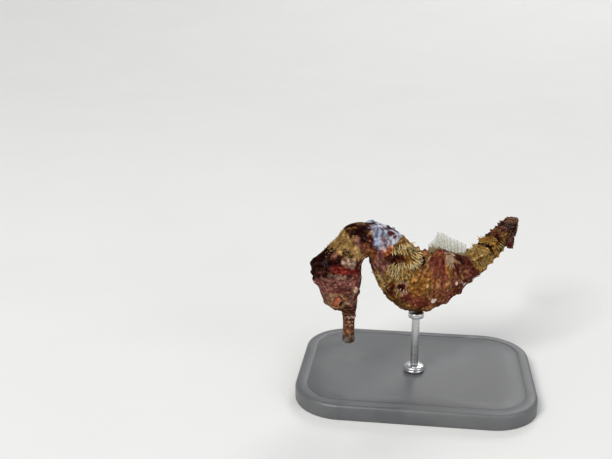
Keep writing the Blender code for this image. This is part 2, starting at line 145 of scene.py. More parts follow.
# Linear colours of the animal and its eyes
INK = {
    "pearl": (0.3, 0.22, 0.15), "shell": (0.42, 0.3, 0.21), "lip": (0.14, 0.115, 0.09),
    "salmon": (0.23, 0.105, 0.055), "umber": (0.13, 0.045, 0.028), "rose": (0.4, 0.18, 0.13),
    "lid": (0.24, 0.16, 0.08), "magenta": (0.17, 0.05, 0.045), "red": (0.22, 0.02, 0.014),
    "maroon": (0.1, 0.016, 0.01), "deep": (0.035, 0.006, 0.004), "crown": (0.016, 0.003, 0.002),
    "wine": (0.2, 0.045, 0.035), "mauve": (0.24, 0.11, 0.1), "russet": (0.24, 0.058, 0.038),
    "rust": (0.31, 0.115, 0.042), "orange": (0.5, 0.12, 0.03), "ochre": (0.42, 0.21, 0.03),
    # olive: the belly's own olive, made darker as painted shade under the trunk
    "gold": (0.4, 0.235, 0.05), "olive": (0.19, 0.1, 0.025), "tan": (0.5, 0.32, 0.11),
    "honey": (0.36, 0.2, 0.04), "wheat": (0.47, 0.36, 0.15), "straw": (0.9, 0.76, 0.42),
    "cream": (0.7, 0.57, 0.38), "saddle": (0.4, 0.42, 0.49), "bluish": (0.3, 0.4, 0.56),
    "slate": (0.22, 0.2, 0.24), "dusk": (0.12, 0.03, 0.02), "plum": (0.035, 0.009, 0.007),
    "white": (0.62, 0.52, 0.45), "iris": (0.24, 0.03, 0.003), "iris_streak": (0.46, 0.11, 0.008),
    "iris_rim": (0.2, 0.035, 0.012), "pupil_ring": (0.5, 0.34, 0.13), "pupil": (0.004, 0.004, 0.004),
    "eye_edge": (0.02, 0.008, 0.006),
}

# Ground colours along the body: run, colour of the back and flanks, colour under the belly; the olive under
# the belly is the belly's own olive, darkened partly as painted shade
GROUND = (
    (0, "lip", "lip"), (1.6, "lip", "lip"), (2.6, "salmon", "salmon"), (5.2, "salmon", "salmon"),
    (6.9, "umber", "umber"), (9, "umber", "umber"), (11, "lid", "umber"), (13, "magenta", "magenta"),
    (18.6, "magenta", "magenta"), (20, "maroon", "maroon"), (22.6, "maroon", "maroon"),
    (23.2, "tan", "wine"), (25.4, "tan", "wine"), (25.8, "deep", "rust"), (27.6, "deep", "rust"),
    (28.6, "maroon", "rust"), (29.4, "maroon", "rust"), (31, "rust", "rust"), (33, "honey", "wine"),
    (36, "honey", "tan"), (40.5, "honey", "olive"), (42, "rust", "olive"), (48, "rust", "olive"),
    (51, "russet", "wine"), (54.5, "dusk", "wine"), (59.8, "dusk", "dusk"), (61, "gold", "dusk"),
    (65, "gold", "ochre"), (68.8, "ochre", "umber"), (70.2, "plum", "umber"),
    (TAIL_END, "plum", "plum"),
)
BELLY_STARTS = (105.0, 150.0)

# Marks laid over the ground, one over another: run, turn, reach along, reach round, colour, strength
MARKS = (
    (20.5, 12, 2.8, 7.4, "crown", 1.7), (11.6, 40, 0.7, 0.7, "shell", 0.8),
    (13.4, 44, 0.8, 0.9, "pearl", 1), (12.6, 22, 0.7, 0.9, "umber", 1),
    (15.9, 44, 0.35, 1.6, "rose", 0.9), (15.4, 20, 1.8, 2.4, "mauve", 0.75),
    (13.6, 30, 1.2, 2, "lid", 0.9), (15.4, 76, 1.5, 2.4, "maroon", 0.5),
    (17.4, 72, 1.5, 2.8, "mauve", 0.45), (20.5, 72, 1, 2.6, "red", 0.85),
    (19.2, 52, 0.6, 0.7, "pearl", 0.7), (19.2, 68, 0.7, 1, "shell", 0.6),
    (18.2, 40, 0.5, 1.3, "shell", 0.6), (17.3, 90, 1.2, 1.4, "rose", 0.5),
    (22.4, 44, 0.6, 0.8, "rose", 0.7), (23.5, 63, 0.8, 1.1, "crown", 0.95),
    (22.3, 71, 0.7, 0.7, "shell", 0.9), (22.5, 87, 0.7, 0.7, "shell", 0.9),
    (21.4, 80, 0.5, 0.7, "shell", 0.5), (15.6, 100, 1, 1, "cream", 1.2),
    (14.6, 96, 0.6, 0.6, "shell", 1), (14, 92, 0.8, 0.7, "pearl", 0.6),
    (12.1, 118, 0.5, 0.5, "shell", 0.9), (7.2, 140, 0.5, 0.5, "shell", 0.9),
    (26.1, 26, 0.7, 4.6, "deep", 0.95), (27, 42, 0.8, 3, "crown", 1.5),
    (26.3, 27, 0.35, 0.6, "olive", 1.5), (28.9, 90, 0.35, 0.9, "rose", 1.1),
    (26, 59, 0.6, 0.7, "rose", 0.9), (26, 74, 0.6, 1, "mauve", 0.7), (26.6, 92, 1.2, 1.4, "rust", 0.7),
    (30.3, 30, 2.1, 5.4, "saddle", 1.5), (31.6, 44, 1, 2.2, "saddle", 1.4),
    (28.4, 0, 0.7, 1.4, "deep", 1.5), (29.1, 50, 0.9, 3, "bluish", 0.9),
    (30.1, 50, 0.5, 0.7, "bluish", 1.2), (30.6, 74, 0.6, 0.9, "slate", 0.8),
    (31.9, 34, 0.5, 0.6, "bluish", 0.9), (30.1, 29, 0.5, 0.8, "plum", 1.6),
    (30.9, 40, 0.5, 0.7, "maroon", 1.5), (31.5, 46, 0.3, 0.5, "maroon", 1.3),
    (30.8, 12, 0.5, 1.3, "plum", 1.5), (32.2, 4, 0.8, 1.5, "plum", 1.2),
    (29.6, 38, 0.3, 0.5, "mauve", 1), (30, 62, 0.4, 0.6, "mauve", 0.9),
    (33.2, 56, 0.5, 0.6, "deep", 1.5), (28.8, 116, 1.3, 2, "rust", 0.9),
    (30.9, 104, 1.3, 1.3, "orange", 0.7), (31.9, 82, 0.6, 1.1, "orange", 1),
    (32.8, 132, 2.6, 3.2, "mauve", 0.8), (34.2, 112, 0.9, 1.2, "mauve", 0.9),
    (33.4, 95, 1.2, 1.2, "maroon", 1.5), (34.7, 86, 1.3, 1.3, "deep", 1.5),
    (36, 79, 1, 1, "maroon", 1.4), (40.2, 148, 1.3, 1.2, "maroon", 1.2),
    (39.3, 139, 0.9, 1.1, "maroon", 1.3), (37, 64, 0.9, 1.1, "ochre", 0.8),
    (40.7, 121, 1.2, 1.3, "shell", 1.2), (42.1, 124, 0.7, 0.8, "shell", 1.2),
    (40.7, 121, 1, 1, "maroon", 1.5), (40.7, 121, 0.6, 0.6, "deep", 0.9),
    (44.2, 98, 2.6, 3, "ochre", 0.7), (45, 127, 3.4, 1.6, "russet", 0.9),
    (43.4, 130, 1.6, 1, "wine", 0.8), (40.6, 48, 0.6, 1.2, "deep", 1.3),
    (41.3, 55, 0.45, 1.3, "deep", 1.4), (45.2, 40, 2.6, 2.8, "russet", 1),
    (45, 26, 1.2, 2, "wine", 0.7), (48.8, 50, 1.8, 2.4, "russet", 1.1), (45, 2, 0.8, 1.4, "deep", 0.9),
    (53, 46, 1.8, 1.5, "cream", 0.55), (56.2, 20, 0.5, 2, "cream", 0.8),
    (52.2, 60, 1.3, 1.4, "honey", 0.7), (57, 38, 0.9, 1.6, "plum", 1.3),
    (54.9, 66, 0.6, 1.4, "maroon", 1), (57.6, 84, 1.6, 1.6, "wine", 0.5),
    (48.4, 119, 0.5, 0.5, "white", 1.6), (53.4, 90, 0.35, 0.35, "white", 1.4),
    (55.9, 114, 0.5, 0.5, "white", 1.8), (58.5, 124, 0.5, 0.5, "white", 1.8),
    (60.3, 129, 0.35, 0.35, "white", 1.4), (62.2, 78, 0.8, 1.3, "maroon", 0.9),
    (63.4, 104, 0.8, 1, "tan", 0.7), (66.8, 52, 0.5, 2.4, "crown", 1.6),
    (68.5, 78, 0.4, 1.6, "crown", 1.3), (69.5, 112, 0.5, 1, "crown", 0.9),
    (69.8, 40, 0.35, 1.6, "crown", 0.9), (71.8, 60, 0.8, 1.3, "ochre", 0.75),
    (71.4, 26, 0.8, 0.9, "wine", 1.1), (70.6, 6, 0.6, 1.6, "plum", 1.3),
    # The crown-coloured mark at run 77.2, turn 50 is painted shade of a hollow on the tail.
    (73.8, 30, 0.9, 1.2, "umber", 0.8), (77.2, 50, 2.2, 1.9, "crown", 1.7),
    (77, 50, 0.35, 0.35, "mauve", 0.8), (80.4, 40, 0.5, 1.8, "pearl", 0.7),
    (74.6, 112, 1.6, 1, "mauve", 0.8), (77.8, 104, 0.9, 0.9, "pearl", 0.5),
)

# Dark and light bands round the snout: run, half width, colour
SNOUT_BANDS = (
    (11.9, 0.22, "shell"), (11.2, 0.2, "magenta"), (10.5, 0.4, "crown"), (9.5, 0.2, "maroon"),
    (8.95, 0.13, "pearl"), (8.5, 0.2, "maroon"), (8.05, 0.17, "pearl"), (7.65, 0.17, "maroon"),
    (7.05, 0.34, "shell"), (6.3, 0.15, "umber"), (5.85, 0.16, "shell"), (5.4, 0.13, "umber"),
    (4.9, 0.14, "shell"), (4.5, 0.1, "umber"),
)
BAND_STARTS = (62.0, 72.0)  # turns over which the bands start, where the head rises over the snout
HEAD_RISES = 8.7  # the run from which it does


def column(table, k):
    return [row[k] for row in table]


def glide(at, stops, values):
    """A cubic curve through the stops, level where they turn: each stop's slope is the harmonic mean of
    the slopes beside it, or 0 where those differ in sign."""
    stops, values = np.asarray(stops, float), np.asarray(values, float)
    step = np.diff(stops)
    slope = np.diff(values) / step
    same_way = slope[:-1] * slope[1:] > 0
    before, after = np.where(same_way, slope[:-1], 1), np.where(same_way, slope[1:], 1)
    left, right = 2 * step[1:] + step[:-1], step[1:] + 2 * step[:-1]
    lean = np.zeros(len(stops))
    lean[0], lean[-1] = slope[0], slope[-1]
    lean[1:-1] = np.where(same_way, (left + right) / (left / before + right / after), 0)
    at = np.clip(at, stops[0], stops[-1])
    i = np.clip(np.searchsorted(stops, at, side="right") - 1, 0, len(step) - 1)
    t = (at - stops[i]) / step[i]
    return (
        values[i] * (1 + 2 * t) * (1 - t) ** 2
        + lean[i] * step[i] * t * (1 - t) ** 2
        + values[i + 1] * t * t * (3 - 2 * t)
        - lean[i + 1] * step[i] * t * t * (1 - t)
    )


def follow(table, run, k=1):
    """The glide through column k of a table, over the runs in its first column."""
    return glide(run, column(table, 0), column(table, k))


def ease(at, low, high):
    """0 below low, 1 above high, and 3t^2 - 2t^3 between."""
    t = np.clip((np.asarray(at, float) - low) / (high - low), 0, 1)
    return t * t * (3 - 2 * t)


def bell(at, middle, width):
    """exp(-(distance / width)^2)."""
    return np.exp(-(((np.asarray(at, float) - middle) / width) ** 2))


def unit(vectors):
    return vectors / np.linalg.norm(vectors, axis=-1, keepdims=True)


def random_at(cell, seed):
    """A random number from 0 to 1 for each whole-number lattice point: its coordinates times three large
    primes, mixed by exclusive or and shifts."""
    key = (cell + 7919 * seed) * np.array((73856093, 19349663, 83492791), np.int64)
    mixed = key[..., 0] ^ key[..., 1] ^ key[..., 2]
    mixed = ((mixed ^ (mixed >> 13)) * 1274126177) & 0x7FFFFFFF
    return ((mixed ^ (mixed >> 15)) & 0xFFFF) / 65535


def noise(points, size, seed):
    """A smooth random field between -1 and 1: a random value at each corner of a cubic lattice with this
    spacing, blended along each axis by 3t^2 - 2t^3."""
    at = np.asarray(points, float) / size
    cell = np.floor(at).astype(np.int64)
    t = at - cell
    t = t * t * (3 - 2 * t)
    total = np.zeros(at.shape[:-1])
    for corner in np.ndindex(2, 2, 2):
        total += random_at(cell + corner, seed) * np.prod(np.where(corner, t, 1 - t), axis=-1)
    return 2 * total - 1


def warts(points, size, seed):
    """Round warts, from 0 to 1: each cell of a cubic lattice with this spacing holds one at a random place,
    a bell of random height, and the highest counts."""
    at = np.asarray(points, float) / size
    cell = np.floor(at).astype(np.int64)
    best = np.zeros(at.shape[:-1])
    for step in np.ndindex(3, 3, 3):
        near = cell + step - 1
        middle = np.stack([random_at(near, seed + k) for k in (1, 2, 3)], -1)
        far = np.linalg.norm(at - near - middle, axis=-1)
        best = np.maximum(best, (0.3 + 0.7 * random_at(near, seed)) * bell(far, 0, 0.42))
    return best


def frames(run):
    """Unit vectors ahead, back and flank. Ahead = cos(climb) level + sin(climb) up, and in the curl the
    climb falls by the integral of 1 / radius, with a radius that shrinks evenly."""
    run = np.asarray(run, float)
    wide, tight = CURL_RADII
    shrink = (wide - tight) / (TAIL_END - CURL_START)
    radius = wide - shrink * np.clip(run - CURL_START, 0, TAIL_END - CURL_START)
    climb = np.radians(follow(POSE, run)) - np.log(wide / radius) / shrink
    swing = np.radians(follow(POSE, run, 2))
    level = np.stack([np.cos(swing), np.sin(swing), 0 * swing], -1)
    up = np.array([0, 0, 1.0])
    ahead = np.cos(climb)[..., None] * level + np.sin(climb)[..., None] * up
    back = np.cos(climb)[..., None] * up - np.sin(climb)[..., None] * level
    return ahead, back, np.cross(ahead, back)


AXIS_STEP = 0.05
AXIS_RUNS = np.arange(round(TAIL_END / AXIS_STEP) + 1) * AXIS_STEP
AXIS_POINTS = SNOUT_TIP + np.concatenate(
    [np.zeros((1, 3)), np.cumsum(frames(AXIS_RUNS[:-1] + AXIS_STEP / 2)[0] * AXIS_STEP, 0)]
)


def axis(run):
    """The sum of the headings from the snout's tip to this run."""
    return np.stack([np.interp(run, AXIS_RUNS, AXIS_POINTS[:, k]) for k in range(3)], -1)


# How fast the rings of the tail shorten
RING_SHRINK = (FIRST_TAIL_RING - (TAIL_END - TRUNK_END) / TAIL_RINGS) / TAIL_RINGS


def ring_number(run):
    """Counts the bony rings from the head; whole on each ring's raised edge. Rings are even on the trunk
    and shorten evenly along the tail."""
    run = np.asarray(run, float)
    trunk = (run - HEAD_END) / (TRUNK_END - HEAD_END) * TRUNK_RINGS
    past = np.clip(run - TRUNK_END, 0, TAIL_END - TRUNK_END)
    tail = (FIRST_TAIL_RING - np.sqrt(FIRST_TAIL_RING**2 - 4 * RING_SHRINK * past)) / (2 * RING_SHRINK)
    return np.where(run < TRUNK_END, trunk, TRUNK_RINGS + tail)


def ring_run(number):
    """The run of a ring's raised edge, the inverse of ring_number."""
    past = np.asarray(number, float) - TRUNK_RINGS
    trunk = TRUNK_END + past / TRUNK_RINGS * (TRUNK_END - HEAD_END)
    return np.where(past < 0, trunk, TRUNK_END + FIRST_TAIL_RING * past - RING_SHRINK * past**2)


def folded(turn):
    """The turn from the middle of the back, the same on both sides: 0 on the back, 180 under the belly."""
    return np.abs((np.asarray(turn, float) + 180) % 360 - 180)


def chord(turn, corners):
    """How far the polygon with these corners lies inside the unit circle: cos(half side) / cos(angle from
    the side's middle)."""
    corners = np.asarray(corners, float)
    i = np.clip(np.searchsorted(corners, turn, side="right") - 1, 0, len(corners) - 2)
    middle = (corners[i] + corners[i + 1]) / 2
    half = (corners[i + 1] - corners[i]) / 2
    return np.cos(np.radians(half)) / np.cos(np.radians(turn - middle))


def plain_section(run, turn):
    """Height over the axis and distance to the flank of the plain body: an oval of the depths and width
    in GIRTH, pressed towards the polygon of its ridges."""
    away = folded(turn)
    tail_like = ease(run, *TAIL_STARTS)
    trunk = chord(away, (-TRUNK_RIDGES[0], *TRUNK_RIDGES))
    tail = chord(away, (-TAIL_RIDGES[0], *TAIL_RIDGES, 360 - TAIL_RIDGES[1]))
    polygon = trunk + (tail - trunk) * tail_like
    rounding = 1 + (polygon - 1) * RIDGE_SHARPNESS * ease(run, HEAD_END - 1, HEAD_END + 6)
    up, out = np.cos(np.radians(turn)), np.sin(np.radians(turn))
    back, belly, wide = (follow(GIRTH, run, k) for k in (1, 2, 3))
    return up * np.where(up > 0, back, belly) * rounding, out * wide * rounding


def knob_bells(run, turn):
    """One bell for each crossing of a ring's edge with a ridge, sized by a random number of its own."""
    run, turn = np.broadcast_arrays(run, turn)
    away, side = folded(turn), np.sign(np.sin(np.radians(turn)))
    number = ring_number(run)
    ring = np.round(number)
    tail_like = ease(run, *TAIL_STARTS)
    total = 0
    knobs = [(*knob, 1 - tail_like) for knob in zip(TRUNK_RIDGES, TRUNK_KNOBS)]
    knobs += [(*knob, tail_like) for knob in zip(TAIL_RIDGES, TAIL_KNOBS)]
    for k, (ridge, size, share) in enumerate(knobs):
        cell = np.stack([ring, side, np.full(ring.shape, k)], -1).astype(np.int64)
        own = size * (0.6 + 0.7 * random_at(cell, 5))
        total = total + share * own * bell(away, ridge, 8) * bell(number - ring, 0, 0.2)
    return total * ease(run, HEAD_END, HEAD_END + 4)


def gill_cover(run, turn):
    """Lift of the gill cover: a plate that is 1 inside an ellipse and falls quickly at its edge, with fine
    ridges that fan out from its front."""
    height, _ = plain_section(run, turn)
    off_back = ease(folded(turn), 20, 40)
    from_middle = np.hypot((run - GILL_MIDDLE[0]) / GILL_REACH[0], (height - GILL_MIDDLE[1]) / GILL_REACH[1])
    plate = (1 - ease(from_middle, 0.78, 1.05)) * off_back
    fan = np.arctan2(height - GILL_RIDGES_FROM[1], run - GILL_RIDGES_FROM[0])
    ridges = 0.5 + 0.5 * np.cos(GILL_RIDGES * fan)
    rim = bell(from_middle, 0.9, 0.1) * off_back
    return 0.4 * plate * np.sqrt(np.clip(1.15 - from_middle, 0.05, 1)) + 0.1 * plate * ridges + 0.1 * rim


def coronet(run, turn):
    """Lift of the crown on the back of the head: a dished mound whose rim rises in lobes."""
    across = (np.asarray(turn) + 180) % 360 - 180
    x, y = (run - CORONET_RUN) / CORONET_REACH[0], across / CORONET_REACH[1]
    s = np.hypot(x, y)
    lobes = 0.5 + 0.5 * np.cos(CORONET_POINTS * np.arctan2(y, x))
    wall = 1 - ease(s, 0.72, 1.12)
    dish = 0.5 * (1 - ease(s, 0.25, 0.8))
    return CORONET_HEIGHT * wall * (1 - dish) * (0.55 + 0.45 * lobes * ease(s, 0.2, 0.7))


def tuft_share(run, turn):
    """1 where skin filaments crowd: over the nape, the shoulder, the chest and the root of the tail."""
    away = folded(turn)
    nape = bell(run, 24.4, 1.7) * (1 - ease(away, 45, 75))
    shoulder = bell(run, 36.6, 4.2) * bell(away, 66, 42)
    chest = bell(run, 38.5, 2.6) * bell(away, 140, 18)
    tail_root = bell(run, 64.5, 3.6) * (1 - ease(away, 80, 130))
    return np.clip(nape + shoulder + chest + tail_root, 0, 1)


def relief(run, turn, plain):
    """Lift of the skin over the plain body, along its radius: ring edges (cosine to the sixth power),
    knobs, head bumps, gill cover, coronet, three sizes of noise and warts, less the pore behind the gill
    cover, the cleft of the mouth and the depth of the filaments."""
    away = folded(turn)
    number = ring_number(run)
    ringed = ease(run, HEAD_END - 1, HEAD_END + 6)
    size = follow(RING_SIZE, run)
    edge = (0.5 + 0.5 * np.cos(2 * np.pi * number)) ** 3
    lift = ringed * size * (RING_LIFT * edge + KNOB_LIFT * knob_bells(run, turn))
    radius = np.hypot(*plain_section(run, turn))
    for bump_run, bump_turn, rise, reach in BUMPS:
        round_it = np.radians(away - bump_turn) * radius
        lift = lift + rise * np.exp(-(((run - bump_run) ** 2 + round_it**2) / reach**2) ** 1.3)
    lift = lift + gill_cover(run, turn) + coronet(run, turn)
    pore_round = np.radians(away - GILL_PORE[1]) * radius
    lift = lift - 0.7 * np.exp(-(((run - GILL_PORE[0]) / 0.35) ** 2 + (pore_round / 0.5) ** 2))
    cleft = bell(away, 128 - 9 * run, 7) * (1 - ease(run, 2.2, 3.4))
    lift = lift - 0.16 * cleft
    fleshy = ease(run, 1.5, 9) * (0.35 + 0.65 * size)
    lift = lift + fleshy * (0.2 * noise(plain, 2.1, 1) + 0.12 * noise(plain, 0.9, 2))
    lift = lift + (0.3 + 0.7 * fleshy) * 0.06 * noise(plain, 0.42, 3)
    lift = lift + fleshy * (0.1 + 0.2 * ringed) * warts(plain, WART, WART_SEED)
    return lift - 0.02 - 0.02 * fleshy - 0.2 * tuft_share(run, turn)


def eye_axes(side, turned, dip=0.0):
    """Centre of the eye, and the unit vectors along the head, across it and out of the eye; the last is
    the flank turned towards the throat by one angle and dipped towards the mouth by the other."""
    ahead, back, flank = frames(EYE_RUN)
    centre = axis(EYE_RUN) + EYE_BACK * back + side * EYE_FLANK * flank
    angle, down = math.radians(turned), math.radians(dip)
    level = math.cos(angle) * side * flank - math.sin(angle) * back
    out = math.cos(down) * level - math.sin(down) * ahead
    along = math.cos(down) * ahead + math.sin(down) * level
    return centre, along, np.cross(out, along), out


def lid_height(q):
    """Height of the lids over the eye's centre at distance q from their axis: a ball a little larger than
    the eyeball, then its tangent cone, sunk below the eyeball inside the opening."""
    ball = np.sqrt(np.clip(LID_SHELL**2 - q**2, 0.01, None))
    rise = math.sqrt(LID_SHELL**2 - LID_JOIN**2)
    cone = rise - (q - LID_JOIN) * LID_JOIN / rise
    folds = 0.05 * np.cos(2 * np.pi * q / 0.38) * bell(q, 2.0, 0.5)
    return np.where(q < LID_JOIN, ball, cone) + folds - 0.85 * (1 - ease(q, *LID_OPENING))


def round_lids(points, side):
    """Where points lie round the lids' axis: distance from it, angle round it and height along it."""
    centre, across, up, out = eye_axes(side, LID_TURN)
    offset = points - centre
    x, y = offset @ across, offset @ up
    return np.hypot(x, y), np.arctan2(y, x), offset @ out


def raise_lids(points, side):
    """Pushes the skin out along the lids' axis to the larger of its own height h and lid_height, blended by
    log(e^(6h) + e^(6 lid)) / 6."""
    q, _, own = round_lids(points, side)
    raised = np.logaddexp(6 * own, 6 * lid_height(q)) / 6
    share = (1 - ease(q, 2.7, 3.3)) * ease(own, -2.0, -1.2)
    return points + ((raised - own) * share)[..., None] * eye_axes(side, LID_TURN)[3]


def skin(run, turn):
    """Points of the skin: axis + height back + side flank, with the relief added along the radius and the
    lids raised round both eyes."""
    run, turn = np.broadcast_arrays(np.asarray(run, float), np.asarray(turn, float))
    _, back, flank = frames(run)
    height, side = plain_section(run, turn)
    plain = axis(run) + height[..., None] * back + side[..., None] * flank
    lift = relief(run, turn, plain)
    radial = np.cos(np.radians(turn))[..., None] * back + np.sin(np.radians(turn))[..., None] * flank
    return raise_lids(raise_lids(plain + lift[..., None] * radial, 1), -1)


def outward(run, turn):
    """Unit normals of the skin, from the cross product of its two slopes."""
    along = skin(run + 0.15, turn) - skin(run - 0.15, turn)
    across = skin(run, turn + 1.5) - skin(run, turn - 1.5)
    return unit(np.cross(across, along))


def mix(under, over, share):
    """under + (over - under) share, for colours."""
    return under + (np.asarray(over) - under) * np.asarray(share)[..., None]


def ground(run, turn):
    """Colour of the ground coat: the back's and the belly's colours by run, blended by turn."""
    stops = column(GROUND, 0)
    upper, lower = ([INK[name] for name in column(GROUND, k)] for k in (1, 2))
    coats = [np.stack([np.interp(run, stops, column(c, k)) for k in range(3)], -1) for c in (upper, lower)]
    return mix(coats[0], coats[1], ease(folded(turn), *BELLY_STARTS))


def lay(colour, layers):
    """Mixes inks into the colour one after another, each by its share."""
    for ink, share in layers:
        colour = mix(colour, INK[ink], share)
    return colour


def ground_coat(run, turn, points, ragged):
    """The ground with ragged borders, under blotches of tan and maroon, pale specks, ochre and rose specks
    on the trunk, pearl ones on the cheek, and mottles on the far part of the tail."""

    def field(size, seed):
        return noise(points, size, seed)

    behind = ease(run, 24, 30)
    tan_spots = ease(field(1.5, 14) + 0.4 * field(0.6, 15), 0.28, 0.6)
    dark_spots = ease(field(1.2, 16) + 0.4 * field(0.5, 17), 0.3, 0.62)
    specks = ease(field(0.45, 27), 0.45, 0.7) * ease(run, 9, 12) * (1 - ease(run, 56, 62))
    fine = field(0.42, 28) + 0.3 * field(1.6, 29)
    trunk = ease(run, 41, 44) * (1 - ease(run, 54, 60))
    tail = ease(run, 69, 73)
    layers = (
        ("tan", 0.5 * behind * tan_spots),
        ("maroon", (0.1 + 0.2 * ease(run, 8, 11) + 0.25 * behind) * dark_spots),
        ("shell", 0.55 * specks),
        ("ochre", 0.5 * trunk * ease(fine, 0.3, 0.6)),
        ("rose", 0.55 * trunk * ease(-fine, 0.2, 0.5)),
        ("pearl", 0.5 * ease(-fine, 0.35, 0.65) * bell(run, 16.5, 3.6)),
        ("wine", 0.6 * tail * ease(field(1.5, 32), -0.05, 0.3)),
        ("tan", 0.4 * tail * ease(field(1.2, 33) + 0.4 * fine, 0.05, 0.45)),
    )
    return lay(ground(run + 0.9 * ragged, folded(turn) + 22 * field(2.3, 13)), layers)


def mark_layers(run, turn, points, ragged):
    """Ink and share of each mark: its strength, falling to 0 as its distance, plus noise, passes 1."""
    whole = 1 - 0.5 * ease(noise(points, 0.6, 22) + 0.5 * noise(points, 0.3, 24), 0.1, 0.5)
    away, radius = folded(turn), np.hypot(*plain_section(run, turn))
    for mark_run, mark_turn, along, around, name, strength in MARKS:
        round_it = np.radians(away - mark_turn) * radius
        far = np.hypot((run - mark_run) / along, round_it / around) + 0.4 * ragged
        yield name, np.minimum(strength * whole * (1 - ease(far, 0.65, 1.2)), 1)


def band_layers(run, turn, points):
    """Ink and share of each band of the snout: 1 within its half width, with a wavy edge."""
    wobble = 0.2 * noise(points, 0.8, 18) + 0.16 * np.cos(np.radians(9 * turn))
    over_snout = 1 - ease(folded(turn), *BAND_STARTS)
    for band_run, half, name in SNOUT_BANDS:
        share = 1 - ease(np.abs(run + wobble - band_run), 0.7 * half, 1.3 * half)
        yield name, 0.85 * (share * (1 - over_snout * (band_run > HEAD_RISES)))


def lid_layers(points, ragged):
    """Inks and shares of the lids of both eyes, with dark rays and painted shade in the opening round the
    eyeball.
    """
    for side in (1, -1):
        q, around, height = round_lids(points, side)
        near = (1 - ease(q + 0.35 * ragged, 1.9, 2.5)) * ease(height, -1.2, 0.2)
        yield "lid", 0.8 * near
        yield "umber", 0.75 * near * ease(np.cos(9 * around) + 1.6 * ragged, 0.0, 0.8)
        # Painted shade in the lids' opening, where they meet the eyeball.
        yield "deep", near * (1 - ease(q, 1.15, 1.4))


def paint(run, turn, points):
    """Colours of the skin: ground, marks, grey clouds on the saddle, painted shade among filaments, a fine
    net on the cheek, snout bands, painted shade between warts, pale warts and knobs, painted shade in the
    grooves between rings, lids.
    `ragged` is the noise that makes borders ragged."""
    run, turn = np.broadcast_arrays(np.asarray(run, float), np.asarray(turn, float))
    ragged = 0.6 * noise(points, 1.3, 11) + 0.4 * noise(points, 0.5, 12)
    colour = ground_coat(run, turn, points, ragged)
    colour = lay(colour, mark_layers(run, turn, points, ragged))
    pale = ease(colour[..., 2], 0.3, 0.42) * ease(run, 26, 29)
    colour = mix(colour, INK["slate"], 0.55 * pale * ease(noise(points, 0.9, 25), 0.15, 0.6))
    colour = colour * (1 - 0.45 * tuft_share(run, turn) * ease(noise(points, 0.8, 26), -0.4, 0.3))[..., None]
    net = bell(noise(points, 0.75, 23), 0, 0.13) * bell(run, 17, 3.4) * bell(folded(turn), 64, 40)
    colour = lay(mix(colour, INK["rose"], 0.5 * net), band_layers(run, turn, points))
    raised = warts(points, WART, WART_SEED)
    bright = ease(colour.mean(-1), 0.3, 0.45)
    dim = 0.5 * (1 - bright) * (1 - ease(raised, 0.1, 0.45))
    wart_tips = 0.32 * ease(raised, 0.6, 0.85) * ease(noise(points, 1.9, 20), -0.3, 0.3) * ease(run, 14, 24)
    knobs = ease(knob_bells(run, turn), 0.6, 1.0) * ease(run, 40, 44) * (1 - 0.7 * ease(run, 72, 78))
    knob_tips = 0.7 * knobs * ease(noise(points, 3.0, 19), -0.1, 0.3)
    colour = lay(colour * (1 - dim)[..., None], (("cream", wart_tips), ("cream", knob_tips)))
    # Painted shade in the grooves between the rings: the skin is darkened there, less where its colour is
    # bright.
    groove = (0.5 - 0.5 * np.cos(2 * np.pi * ring_number(run))) ** 4 * ease(run, 30, 36)
    colour = colour * (1 - 0.25 * groove * (1 - bright))[..., None]
    return np.clip(lay(colour, lid_layers(points, ragged)), 0, 1)


def mesh_piece(name, points, quads, triangles=(), values=None, places=None):
    """A smooth-shaded object at the origin, made from arrays of points in millimetres, faces, values by
    point (three for a colour, one for a number) and places in the bake's map by face corner."""
    quads = np.asarray(quads, np.int32).reshape(-1, 4)
    triangles = np.asarray(triangles, np.int32).reshape(-1, 3)
    corners = np.concatenate([quads.ravel(), triangles.ravel()])
    starts = np.concatenate([np.arange(len(quads)) * 4, len(quads) * 4 + np.arange(len(triangles)) * 3])
    mesh = bpy.data.meshes.new(name)
    mesh.vertices.add(len(points))
    mesh.vertices.foreach_set("co", np.ascontiguousarray(points * MM, np.float32).ravel())
    mesh.loops.add(len(corners))
    mesh.loops.foreach_set("vertex_index", corners.astype(np.int32))
    mesh.polygons.add(len(starts))
    mesh.polygons.foreach_set("loop_start", starts.astype(np.int32))
    mesh.polygons.foreach_set("use_smooth", np.ones(len(starts), bool))
    for key, value in (values or {}).items():
        value = np.asarray(value, np.float32)
        if value.ndim == 2:
            data = mesh.color_attributes.new(key, "FLOAT_COLOR", "POINT").data
            data.foreach_set("color", np.column_stack([value, np.ones(len(value), np.float32)]).ravel())
        else:
            mesh.attributes.new(key, "FLOAT", "POINT").data.foreach_set("value", value.ravel())
    if places is not None:
        mesh.uv_layers.new(name="OFBake").data.foreach_set("uv", np.asarray(places, np.float32).ravel())
    mesh.update(calc_edges=True)
    made = bpy.data.objects.new(name, mesh)
    bpy.context.scene.collection.objects.link(made)
    return made


def grid_quads(rows, columns):
    """Quads between neighbouring rings of a grid whose columns close on themselves."""
    row, col = np.meshgrid(np.arange(rows - 1), np.arange(columns), indexing="ij")
    here, after = row * columns + col, row * columns + (col + 1) % columns
    return np.stack([here, after, after + columns, here + columns], -1).reshape(-1, 4)


def tube_faces(rows, columns):
    """The grid's quads, and fans of triangles to a pole before the first ring and one after the last. The
    poles are the last two points."""
    ring = np.arange(columns)
    after, end_ring = (ring + 1) % columns, (rows - 1) * columns
    start = np.stack([after, ring, np.full(columns, rows * columns)], -1)
    end = np.stack([end_ring + ring, end_ring + after, np.full(columns, rows * columns + 1)], -1)
    return grid_quads(rows, columns), np.concatenate([start, end])


def with_poles(grid):
    """The grid's values in one list, followed by the means of its first and last rings."""
    flat = grid.reshape(grid.shape[0] * grid.shape[1], *grid.shape[2:])
    return np.concatenate([flat, grid[:1].mean(1), grid[-1:].mean(1)])


